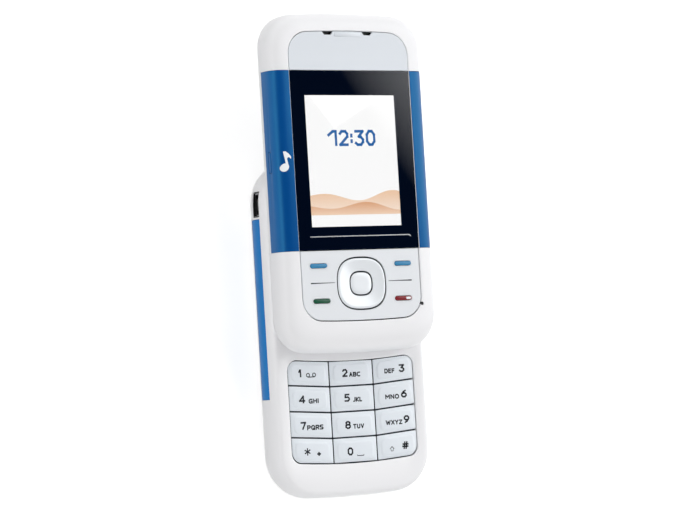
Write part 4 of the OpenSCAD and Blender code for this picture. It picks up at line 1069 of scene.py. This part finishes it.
def side_panel_section(outside, depth):
    """Section of the sliding half's side from the panel's foot to its edge on the face.

    It lies between the surface, or a line outside it, and a depth below the surface.
    """
    levels = span(SLIDE_LEVELS, SIDE_PANEL_Z, SLIDE_T)
    if outside:
        out = [(HALF_W + outside, SIDE_PANEL_Z), (HALF_W + outside, SLIDE_T + outside),
               (SIDE_PANEL_X, SLIDE_T + outside)]
    else:
        out = [(HALF_W - slide_inset(z), z) for z in levels] + [(SIDE_PANEL_X, SLIDE_T)]
    thin = 1 - depth / (SLIDE_T - SLIDE_WIDE_Z)
    under = [z if z < SLIDE_WIDE_Z else SLIDE_WIDE_Z + (z - SLIDE_WIDE_Z) * thin for z in levels]
    back = [(HALF_W - slide_inset(z, depth), z) for z in reversed(under)]
    back = [p for p in back if p[0] > SIDE_PANEL_X + 0.02]
    return out + [(SIDE_PANEL_X, SLIDE_T - depth)] + back


def field_ring(out, z):
    """Outline of the whole field of panels, let out by a distance, at a height."""
    radius = PANEL_CORNER_R + out
    return level(outline(FIELD_HALF_W + out, FIELD_FOOT - out, FIELD_TOP + out, radius, STATIONS), z)


def slide_front_cover():
    """White frame round the panels, with recesses for the blue sides."""
    lip = 0.15
    foot_z = BACK_COVER_T + 0.05
    rim_z = SLIDE_T - SLIDE_WALL
    rings = [slide_ring(z) for z in span(SLIDE_LEVELS, foot_z, SLIDE_T)]
    for i in range(4):
        a = pi / 2 * i / 3
        rings.append(field_ring(lip * (1 - sin(a)), SLIDE_T - lip * (1 - cos(a))))
    rings += [field_ring(0, z) for z in (rim_z + 0.3, rim_z - 0.2)]
    rings += [slide_ring(z, SLIDE_WALL) for z in (rim_z - 0.8, rim_z - 1.6, SLIDE_WIDE_Z, foot_z)]
    piece = solid("slide_frame", rings, SLIDE, looped=True)
    section = side_panel_section(1, SIDE_PANEL_T + 0.05)
    foot = WINDOW_FOOT - 0.05
    top = WINDOW_TOP + 0.05
    tools = [side_prism("panel_recess", section, foot, top, SLIDE, side) for side in (-1, 1)]
    tools.append(music_opening("music_hole", MUSIC_FIT))
    tools.append(mic_hole())
    carve(piece, *tools)
    dress(piece, "slide", "white_shell", WHITE, "slide_front_cover")


def mic_hole():
    """Round hole in the corner of the function panel and in the frame beside it."""
    hole = shift(circle(MIC_R, 24), MIC_X, MIC_Y)
    return prism("mic_hole", hole, PANEL_Z, SLIDE_T + 1, SLIDE)


def music_opening(name, fit):
    """Bar through the left side at the music key, larger than the key by a fit."""
    centre = Vector((0, MUSIC_Y, MUSIC_Z))
    length = MUSIC_L + 2 * fit
    height = MUSIC_W + 2 * fit
    return bar_through_side(name, length, height, -HALF_W - 1, -HALF_W + 4, centre, SLIDE)


def side_panels():
    """Blue panels that wrap the sides; the left one has an opening for the music key."""
    section = side_panel_section(0, SIDE_PANEL_T)
    for which, side in (("left", -1), ("right", 1)):
        piece = side_prism("blue_panel_" + which, section, WINDOW_FOOT, WINDOW_TOP, SLIDE, side)
        if side < 0:
            carve(piece, music_opening("slot", MUSIC_FIT))
        soften(piece, 0.2, 3)
        dress(piece, "slide", "blue_panel", BLUE, "side_panel_" + which)


def music_key():
    """Slim key in the left panel that follows its curve."""
    levels = span(SLIDE_LEVELS, MUSIC_Z - 1.5, MUSIC_Z + 1.5)
    section = [(HALF_W - slide_inset(z), z) for z in levels]
    section += [(HALF_W - 3.4, levels[-1]), (HALF_W - 3.4, levels[0])]
    piece = music_opening("music_button", 0)
    overlap(piece, side_prism("side", section, MUSIC_Y - 5, MUSIC_Y + 5, SLIDE, -1))
    soften(piece, 0.15)
    dress(piece, "music_key", "blue_panel", BLUE, "music_key")


def slide_back_cover():
    """Underside of the sliding half, with a recess for the slotted plate."""
    rings = [slide_ring(z) for z in span([0.15, 0.3, 0.5, 0.75], 0, BACK_COVER_T)]
    piece = solid("slide_underside", rings, SLIDE)
    low, high = reach("slide_rail_plate")
    fit = RAIL_PLATE_FIT
    recess = rectangle(low.x - fit, high.x + fit, low.y - fit, high.y + fit)
    tools = [prism("recess", recess, SLIDE.z - 1, SLIDE.z + 0.5)]
    half_w = RAIL_SLOT_W / 2
    foot = low.y + RAIL_SLOT_MARGIN
    top = high.y - RAIL_SLOT_MARGIN
    for x in (-RAIL_X, RAIL_X):
        tools.append(prism("slot", rectangle(x - half_w, x + half_w, foot, top), SLIDE.z - 1, SLIDE.z + 3))
    for x, y in screw_spots():
        tools.append(prism("hole", shift(circle(SCREW_HOLE_R, 32), x, y), -1, 0.6, SLIDE))
    carve(piece, *tools)
    dress(piece, "slide", "white_shell", WHITE, "slide_back_cover")


def screw_spots():
    """Places of the screws in the sliding half's underside."""
    x = HALF_W - SLIDE_WALL - 1.75
    return [(sx * x, y) for sx in (-1, 1) for y in (FIELD_FOOT + 4.9, FIELD_TOP - 7)]


def window_pane():
    """Clear window over the display and its black frame."""
    inset = 0.05
    foot = WINDOW_FOOT + SEAM - inset
    top = WINDOW_TOP - SEAM + inset

    def shape(d):
        return zone_outline(inset + d, foot, top)

    piece = tile("window_pane", shape, SLIDE_T - 1, SLIDE_T, PANEL_EDGE_R, SLIDE)
    dress(piece, "slide", "window_clear", WINDOW_CLEAR, "window", flat_faces=True)


def earpiece_panel():
    """Silver panel above the window, with two sound notches and a lip between them."""
    inset = GAP / 2

    def shape(d):
        return zone_outline(inset + d, WINDOW_TOP + SEAM - inset, 0, round_top=True)

    piece = tile("ear_panel", shape, SLIDE_T - PANEL_T, SLIDE_T, PANEL_EDGE_R, SLIDE)
    notch = [(1.6, 0.5), (-1.6, 0.5), (-1.6, -0.33), (-1.05, -1), (1.05, -1), (1.6, -0.33)]
    tools = []
    for x in (-EAR_NOTCH_X, EAR_NOTCH_X):
        tools.append(prism("slot", shift(notch, x, FIELD_TOP - inset), SLIDE_T - 2, SLIDE_T + 1, SLIDE))
    carve(piece, *tools)
    soften(piece, 0.05)
    dress(piece, "slide", "silver_panel", SILVER_PANEL, "earpiece_panel", flat_faces=True)
    lip = tile("ear_lip", lambda d: rectangle(-4.2 + d, 4.2 - d, FIELD_TOP - 1.6 + d, FIELD_TOP - 0.5 - d),
               SLIDE_T - 0.1, SLIDE_T + 0.12, 0.1, SLIDE)
    dress(lip, "slide", "silver_panel", SILVER_PANEL)


def bar_spots():
    """Node, material slot, finish, and place of each bar on the function panel."""
    return (
        ("soft_key_left", "soft_key_blue", SOFT_BLUE, -SOFT_X, SOFT_Y),
        ("soft_key_right", "soft_key_blue", SOFT_BLUE, SOFT_X, SOFT_Y),
        ("send_key", "send_green", SEND_GREEN, -CALL_X, CALL_Y),
        ("end_key", "end_red", END_RED, CALL_X, CALL_Y),
    )


def function_panel():
    """Silver panel below the window, with holes for the keys and a groove at each side."""

    def shape(d):
        return zone_outline(GAP + d, 0, WINDOW_FOOT - SEAM + GAP, round_foot=True)

    piece = tile("function_plate", shape, PANEL_Z, PANEL_Z + PANEL_T, 0.15, SLIDE)
    nav_hole = shift(squircle(NAV_RX, NAV_RY), NAV.x, NAV.y)
    tools = [prism("nav_hole", nav_hole, PANEL_Z - 1, SLIDE_T + 1, SLIDE)]
    for *_, x, y in bar_spots():
        hole = shift(stadium(BAR_L + 2 * BAR_FIT, BAR_W + 2 * BAR_FIT), x, y)
        tools.append(prism("bar_hole", hole, PANEL_Z - 1, SLIDE_T + 1, SLIDE))
    tools.append(mic_hole())
    for side in (-1, 1):
        middle = side * (NAV_RX + 4.4)
        groove = rectangle(middle - 3.8, middle + 3.8, NAV.y + 0.3, NAV.y + 0.5)
        tools.append(prism("groove", groove, PANEL_Z + PANEL_T - 0.15, SLIDE_T + 1, SLIDE))
    carve(piece, *tools)
    soften(piece, 0.06)
    dress(piece, "slide", "silver_panel", FUNCTION_SILVER, "function_panel", flat_faces=True)


def collars():
    """Low pale collar round each bar."""
    # pairs of distance out from the bar and rise over the panel
    profile = ((0.55, -0.02), (0.5, 0.04), (0.4, 0.09), (0.28, 0.1), (BAR_FIT, 0.06), (BAR_FIT, -0.3))
    pieces = []
    for *_, x, y in bar_spots():
        rings = []
        for out, rise in profile:
            points = shift(stadium(BAR_L + 2 * out, BAR_W + 2 * out), x, y)
            rings.append(level(points, PANEL_Z + PANEL_T + rise))
        pieces.append(solid("collar", rings, SLIDE, looped=True))
    dress(join("bar_collars", pieces), "slide", "silver_panel", FUNCTION_SILVER, crease=60)


def microphone_mesh():
    """Dark mesh in the microphone's hole."""
    spot = shift(circle(MIC_R - 0.02, 24), MIC_X, MIC_Y)
    piece = prism("mic_mesh", spot, PANEL_Z, SLIDE_T - 0.2, SLIDE)
    dress(piece, "slide", "dark_plastic", DARK)


def groove_shade_lines():
    """Painted shade: dark hairlines in the grooves, thinner towards the navigation ring."""
    z = PANEL_Z + PANEL_T + 0.012
    pieces = []
    for side in (-1, 1):
        near = side * (NAV_RX + 0.7)
        far = side * (NAV_RX + 8.1)
        y = NAV.y + 0.4
        points = [(near, y - 0.05), (far, y - 0.17), (far, y + 0.17), (near, y + 0.05)]
        pieces.append(flat("line", points if side > 0 else list(reversed(points)), z, SLIDE))
    piece = join("groove_shade_lines", pieces)
    dress(piece, "slide", "dark_plastic", GAP_PAINTED_SHADE)


def function_bars():
    """The four bars, and a painted highlight on the end key."""
    for node, slot, finish, x, y in bar_spots():
        piece = tile(node + "_bar", lambda d: shift(stadium(BAR_L - 2 * d, BAR_W - 2 * d), x, y),
                     PANEL_Z - 0.1, BAR_TOP_Z, 0.28, SLIDE, steps=5)
        dress(piece, node, slot, finish, node)
    # Painted highlight: a white spot on the end key's bar, in the print white
    glint = shift(stadium(1.5, 0.62), CALL_X + 1.45, CALL_Y)
    dress(flat("end_key_painted_highlight", glint, BAR_TOP_Z + PRINT_LIFT, SLIDE), "end_key", "key_silver", WHITE_PRINT)


def nav_ring():
    """Dished navigation ring on a dark core whose colour is painted shade in the gap round the ring."""
    top = SLIDE_T - 0.1
    foot = PANEL_Z - 0.4

    def ring(inset, z):
        return level(shift(squircle(NAV_RX - inset, NAV_RY - inset), NAV.x, NAV.y), z)

    def hole(grow, z):
        points = squircle(CENTRE_RX + NAV_FIT + grow, CENTRE_RY + NAV_FIT + grow)
        return level(shift(points, NAV.x, NAV.y), z)

    rings = [ring(NAV_FIT, top - 0.35)]
    # pairs of inset and drop over the rim and down the dish
    for inset, drop in ((0.04, 0.18), (0.14, 0.08), (0.3, 0.02), (0.5, 0), (0.75, 0.03), (1.2, 0.1),
                        (1.9, 0.2), (2.7, 0.28), (3.3, 0.32)):
        rings.append(ring(NAV_FIT + inset, top - drop))
    for grow, drop in ((0.12, 0.34), (0.03, 0.37), (0, 0.45), (0, 0.6)):
        rings.append(hole(grow, top - drop))
    piece = solid("nav_dish", rings, SLIDE, looped=True)
    dress(piece, "nav_ring", "silver_panel", NAV_SILVER, "nav_ring", crease=60)
    # Dark core: painted shade in the gap round the ring
    rings = [ring(0, foot), ring(0, foot + 0.3), ring(NAV_FIT + SHADE_CORE_INSET, foot + 0.3)]
    rings += [ring(NAV_FIT + SHADE_CORE_INSET, top - 0.34), hole(SHADE_CORE_INSET, top - 0.58), hole(SHADE_CORE_INSET, foot)]
    piece = solid("nav_shade_core", rings, SLIDE, looped=True)
    dress(piece, "nav_ring", "dark_plastic", GAP_PAINTED_SHADE, "nav_ring", crease=40)


def centre_key():
    """Softly domed key in the ring, on a dark core whose colour is painted shade in the gap round the key.
    """
    top = SLIDE_T - 0.42
    # pairs of inset and drop over the rim to the middle
    profile = ((0, 0.3), (0, 0.26), (0.05, 0.14), (0.16, 0.06), (0.4, 0.02), (1.2, 0), (2.4, 0.03))
    rings = []
    for inset, drop in profile:
        points = shift(squircle(CENTRE_RX - inset, CENTRE_RY - inset), NAV.x, NAV.y)
        rings.append(level(points, top - drop))
    piece = solid("centre_button", rings, SLIDE)
    dress(piece, "centre_key", "silver_panel", NAV_SILVER, "centre_key", crease=60)
    # Dark core: painted shade in the gap round the key
    shade_core = shift(squircle(CENTRE_RX - SHADE_CORE_INSET, CENTRE_RY - SHADE_CORE_INSET), NAV.x, NAV.y)
    piece = prism("centre_shade_core", shade_core, top - 1.5, top - 0.3, SLIDE)
    dress(piece, "centre_key", "dark_plastic", GAP_PAINTED_SHADE, "centre_key", crease=40)


# ---- Display and prints ----


def wave(x0, x1, foot, height, swing, phase, steps=40):
    """Closed outline under a wavy line, whose swing grows to the right."""
    tops = []
    for i in range(steps + 1):
        x = x0 + (x1 - x0) * i / steps
        growth = 0.4 + 0.6 * i / steps
        tops.append((x, height + swing * sin(phase + 2.6 * pi * i / steps) * growth))
    return [(x0, foot), (x1, foot)] + list(reversed(tops))


def display_picture():
    """Plain wallpaper: pale sand dunes low on a white ground, and a clock above them."""
    z = SLIDE_T - DISPLAY_DEPTH + 0.01
    half_w = DISPLAY_HALF_W
    foot = DISPLAY_Y - DISPLAY_H / 2
    dunes = foot + DUNE_FOOT
    ground = flat("display_ground", rectangle(-half_w, half_w, foot, foot + DISPLAY_H), z, SLIDE)
    dress(ground, "slide", "display", lit("lit_white", "FFFFFF"))
    y0 = SLIDE.y + foot
    far = flat("far_dune", wave(-half_w, half_w, dunes, foot + FAR_DUNE_TOP, 1.6, 0.4), z + 0.01, SLIDE)
    dress(far, "slide", "display", lit("lit_sand", "EFC9A8", "FBE9DA", (y0 + 3, y0 + 9)))
    near = flat("near_dune", wave(-half_w, half_w, dunes, foot + NEAR_DUNE_TOP, 1.3, 2.9), z + 0.02, SLIDE)
    dress(near, "slide", "display", lit("lit_tan", "D9996B", "F3D3B8", (y0 + 3, y0 + 7)))
    digits = lettering("12:30", -CLOCK_HALF_W, CLOCK_HALF_W, CLOCK_Y - CLOCK_HALF_H, CLOCK_Y + CLOCK_HALF_H,
                       z + 0.02, CLOCK_WEIGHT, SLIDE)
    digits.name = "clock_digits"
    dress(digits, "slide", "display", lit("lit_blue", "1B62A6"))


def ridge_painted_highlight():
    """Painted highlight along the edge of a low ridge under the picture: a silver line, turned down at its
    right end.
    """
    y = HIGHLIGHT_LINE_Y
    points = [(-15.4, y), (15.6, y), (16.1, y - 0.08), (16.4, y - 0.4)]
    piece = stroke("ridge_painted_highlight", points, HIGHLIGHT_LINE_W, SLIDE_T + 0.008, SLIDE)
    dress(piece, "slide", "silver_panel", STEEL)


def surface_height(x):
    """Height of the sliding half's rolled side above its underside, at a distance from the middle."""
    share = min(1, max(0, (HALF_W - abs(x)) / SIDE_ROLL))
    climb = (1 - (1 - share) ** SLIDE_SQUARE) ** (1 / SLIDE_SQUARE)
    return SLIDE_WIDE_Z + (SLIDE_T - SLIDE_WIDE_Z) * climb


def music_note():
    """Eighth note printed on the left side panel, laid over its curve."""
    tilt = radians(NOTE_HEAD_TILT)
    head = []
    for x, y in circle(1, 32):
        long = NOTE_HEAD_LONG * x
        short = NOTE_HEAD_SHORT * y
        head.append((long * cos(tilt) - short * sin(tilt), long * sin(tilt) + short * cos(tilt)))
    stem = [(0.42, 0.5), (1.08, 0.6), (0.4, 4.0), (-0.22, 4.1)]
    flag = [(0.74, 2.35), (1.05, 2.75), (1.45, 2.7), (1.75, 2.3), (1.95, 2.45), (1.9, 3.0), (1.3, 3.7),
            (0.4, 4.35), (-0.2, 4.3), (-0.22, 4.1)]
    work = bmesh.new()

    for points in (head, stem, flag):
        work.faces.new([work.verts.new((NOTE_X + x, NOTE_Y + y, 0)) for x, y in points])
    bmesh.ops.triangulate(work, faces=work.faces)
    bmesh.ops.subdivide_edges(work, edges=work.edges, cuts=3, use_grid_fill=True)
    for v in work.verts:
        v.co = (Vector((v.co.x, v.co.y, surface_height(v.co.x) + NOTE_LIFT)) + SLIDE) * MM
    mesh = bpy.data.meshes.new("music_note")
    bmesh.ops.recalc_face_normals(work, faces=work.faces)
    work.to_mesh(mesh)
    work.free()
    piece = bpy.data.objects.new("music_note", mesh)
    bpy.context.scene.collection.objects.link(piece)
    dress(piece, "slide", "key_silver", WHITE_PRINT)


# ---- Repeated small parts, by geometry nodes ----


def screw_heads():
    """Cross-slotted screw heads in the sliding half's underside."""
    verts = [(Vector((x, y, 0.05)) + SLIDE) * MM for x, y in screw_spots()]
    piece = to_scene("slide_screw_heads", verts, [])
    tree = bpy.data.node_groups.new("screw_heads", "GeometryNodeTree")
    tree.interface.new_socket("Geometry", in_out="INPUT", socket_type="NodeSocketGeometry")
    tree.interface.new_socket("Geometry", in_out="OUTPUT", socket_type="NodeSocketGeometry")
    sizes = {"Head radius": 1.3 * MM, "Head height": 0.5 * MM,
             "Slot length": 1.7 * MM, "Slot width": 0.36 * MM}
    for label in sizes:
        tree.interface.new_socket(label, in_out="INPUT", socket_type="NodeSocketFloat")
    add = tree.nodes.new
    link = tree.links.new
    start = add("NodeGroupInput")
    end = add("NodeGroupOutput")
    head = add("GeometryNodeMeshCylinder")
    head.inputs["Vertices"].default_value = 40
    link(start.outputs["Head radius"], head.inputs["Radius"])
    link(start.outputs["Head height"], head.inputs["Depth"])
    cut = add("GeometryNodeMeshBoolean")
    cut.operation = "DIFFERENCE"
    link(head.outputs["Mesh"], cut.inputs["Mesh 1"])
    for turn in (0, pi / 2):
        size = add("ShaderNodeCombineXYZ")
        blade = add("GeometryNodeMeshCube")
        move = add("GeometryNodeTransform")
        move.inputs["Translation"].default_value = (0, 0, -0.3 * MM)
        move.inputs["Rotation"].default_value = (0, 0, turn)
        link(start.outputs["Slot length"], size.inputs["X"])
        link(start.outputs["Slot width"], size.inputs["Y"])
        link(start.outputs["Head height"], size.inputs["Z"])
        link(size.outputs["Vector"], blade.inputs["Size"])
        link(blade.outputs["Mesh"], move.inputs["Geometry"])
        link(move.outputs["Geometry"], cut.inputs["Mesh 2"])
    spread = add("GeometryNodeInstanceOnPoints")
    real = add("GeometryNodeRealizeInstances")
    paint = add("GeometryNodeSetMaterial")
    paint.inputs["Material"].default_value = STEEL
    link(start.outputs["Geometry"], spread.inputs["Points"])
    link(cut.outputs["Mesh"], spread.inputs["Instance"])
    link(spread.outputs["Instances"], real.inputs["Geometry"])
    link(real.outputs["Geometry"], paint.inputs["Geometry"])
    link(paint.outputs["Geometry"], end.inputs["Geometry"])
    step = piece.modifiers.new("heads", "NODES")
    step.node_group = tree
    for item in tree.interface.items_tree:
        if item.name in sizes and item.in_out == "INPUT":
            step[item.identifier] = sizes[item.name]
    settle(piece)
    for v in piece.data.vertices:
        v.co.z += 0.25 * MM
    dress(piece, "slide", "plate_steel", STEEL, "slide_screws")


def camera_details():
    """Lens barrel ring behind the camera's black window."""
    ring = []
    for radius, z in ((2.4, 0.13), (2.4, 0.1), (1.9, 0.1), (1.9, 0.13)):
        ring.append(level(shift(circle(radius, 48), 0, CAMERA_Y), z))
    piece = solid("lens_ring", ring, BASE, looped=True)
    dress(piece, "base", "plate_steel", SOCKET_STEEL)


def dress_kept_nodes():
    """Finishes of the inner and plain nodes, which keep their own shape."""
    finishes = {
        "base_rail_plate": STEEL, "slide_rail_plate": STEEL, "shield_can": STEEL, "sim_holder": STEEL,
        "dome_sheet": STEEL, "vibration_motor": STEEL, "base_screws": STEEL, "volume_switch": STEEL,
        "music_switch": STEEL, "main_board": BOARD, "slide_board": BOARD, "battery": WRAP,
        "keypad_mat": SILICONE, "function_mat": SILICONE, "nav_plate": SILICONE, "flex_cable": AMBER,
        "camera_window": LENS_BLACK, "camera_module": DARK, "data_socket": DARK, "loudspeaker": DARK,
        "antenna": DARK, "earpiece": DARK, "microphone": DARK, "slide_chassis": DARK,
        # The window frame and display module carry the faint painted glow
        "window_frame": BLACK_WITH_PAINTED_GLOW, "display_module": BLACK_WITH_PAINTED_GLOW,
    }
    for node, finish in finishes.items():
        dress_node(node, finish)


# ---- Studio ----


# The photograph's viewing angle, with the place in metres and the turns in degrees
CAMERA_PLACE = (-0.395854, -0.037429, 0.669136)
CAMERA_TURNS = (("Y", -30.984), ("X", 2.803), ("Z", -3.425))
CAMERA_LENS = 148.88


def camera():
    data = bpy.data.cameras.new("camera")
    data.sensor_width = 36
    data.lens = CAMERA_LENS
    place = Matrix.Translation(CAMERA_PLACE)
    for axis, angle in CAMERA_TURNS:
        place = place @ Matrix.Rotation(radians(angle), 4, axis)
    item = bpy.data.objects.new("camera", data)
    item.matrix_world = place
    bpy.context.scene.collection.objects.link(item)
    bpy.context.scene.camera = item


FLOOR_BOUNCE = 0.18
FLOOR_SEEN = 0.9
FLOOR_GLOW = 0.5
WALL_LIGHT = 1.8
CARD_LIGHT = 3.2
CARD_OUT = (0.883, 0.469, 0)
CARD_ACROSS = (-0.469, 0.883, 0)
KEY_WATTS = 2.2
OVERHEAD_WATTS = 1.2


def floor():
    """White sheet that shows the object's soft shadow; seen straight or in a reflection it is paler."""
    verts = [(x, y, 0) for x, y in ((-4, -4), (4, -4), (4, 4), (-4, 4))]
    piece = to_scene("floor", verts, [(0, 1, 2, 3)])
    finish = bpy.data.materials.new("floor_white")
    finish.use_nodes = True
    tree = finish.node_tree
    surface = tree.nodes["Principled BSDF"]
    surface.inputs["Roughness"].default_value = 0.9
    surface.inputs["Specular IOR Level"].default_value = 0
    surface.inputs["Emission Color"].default_value = (1, 1, 1, 1)
    path = tree.nodes.new("ShaderNodeLightPath").outputs
    seen = maths(tree, "MAXIMUM", path["Is Camera Ray"], path["Is Glossy Ray"])
    seen = maths(tree, "MAXIMUM", seen, path["Is Transmission Ray"])
    tree.links.new(ramp(tree, seen, (0, 1, FLOOR_BOUNCE, FLOOR_SEEN)), surface.inputs["Base Color"])
    tree.links.new(ramp(tree, seen, (0, 1, 0, FLOOR_GLOW)), surface.inputs["Emission Strength"])
    piece.data.materials.append(finish)


def lamp(name, place, size, power):
    """Square lamp that looks at the origin and isn't seen in reflections."""
    data = bpy.data.lights.new(name, "AREA")
    data.shape = "RECTANGLE"
    data.size = size
    data.size_y = size
    data.energy = power
    item = bpy.data.objects.new(name, data)
    turn = (-Vector(place)).to_track_quat("-Z", "Y").to_matrix().to_4x4()
    item.matrix_world = Matrix.Translation(place) @ turn
    item.visible_glossy = False
    bpy.context.scene.collection.objects.link(item)


def facing(tree, way, direction):
    """How far a direction of view points along a given one."""
    node = tree.nodes.new("ShaderNodeVectorMath")
    node.operation = "DOT_PRODUCT"
    node.inputs[1].default_value = direction
    tree.links.new(way, node.inputs[0])
    return node.outputs["Value"]


def sky():
    """Soft box round the object: pale walls, a dark ceiling and a bright card at the upper right."""
    world = bpy.data.worlds.new("studio")
    world.use_nodes = True
    tree = world.node_tree
    way = tree.nodes.new("ShaderNodeTexCoord").outputs["Generated"]
    height = facing(tree, way, (0, 0, 1))
    walls = ramp(tree, height, (0.35, 0.8, WALL_LIGHT, 0.02), smooth=True)
    walls = maths(tree, "MULTIPLY", walls, ramp(tree, height, (0, 0.25, 0.4, 1), smooth=True))
    walls = maths(tree, "MULTIPLY", walls, ramp(tree, facing(tree, way, (1, 0, 0)), (-1, 1, 1.25, 0.75)))
    out = facing(tree, way, CARD_OUT)
    card = ramp(tree, out, (0.508, 0.531, 0, CARD_LIGHT))
    across = facing(tree, way, CARD_ACROSS)
    span_low = ramp(tree, across, (-0.6, -0.4, 0, 1), smooth=True)
    span_high = ramp(tree, across, (0, 0.3, 1, 0), smooth=True)
    span_far = ramp(tree, out, (0.6, 0.75, 1, 0.3), smooth=True)
    for part in (span_low, span_high, span_far):
        card = maths(tree, "MULTIPLY", card, part)
    background = tree.nodes["Background"]
    background.inputs["Color"].default_value = (1, 1, 1, 1)
    tree.links.new(maths(tree, "ADD", walls, card), background.inputs["Strength"])
    bpy.context.scene.world = world


def studio():
    floor()
    sky()
    lamp("key", (0.55, 0.45, 0.8), 0.5, KEY_WATTS)
    lamp("overhead", (-0.2, 0.1, 1.2), 1.4, OVERHEAD_WATTS)
    bpy.context.scene.view_settings.view_transform = "Standard"


# ---- Everything ----

camera()
studio()
dress_kept_nodes()
base_front_cover()
rear_shell()
battery_cover()
side_strips()
volume_rocker()
socket_lining()
for number in range(len(KEYS)):
    number_key(number)
legends()
touch_ridge()
slide_front_cover()
slide_back_cover()
side_panels()
music_key()
window_pane()
earpiece_panel()
function_panel()
collars()
microphone_mesh()
groove_shade_lines()
function_bars()
nav_ring()
centre_key()
display_picture()
ridge_painted_highlight()
music_note()
screw_heads()
camera_details()
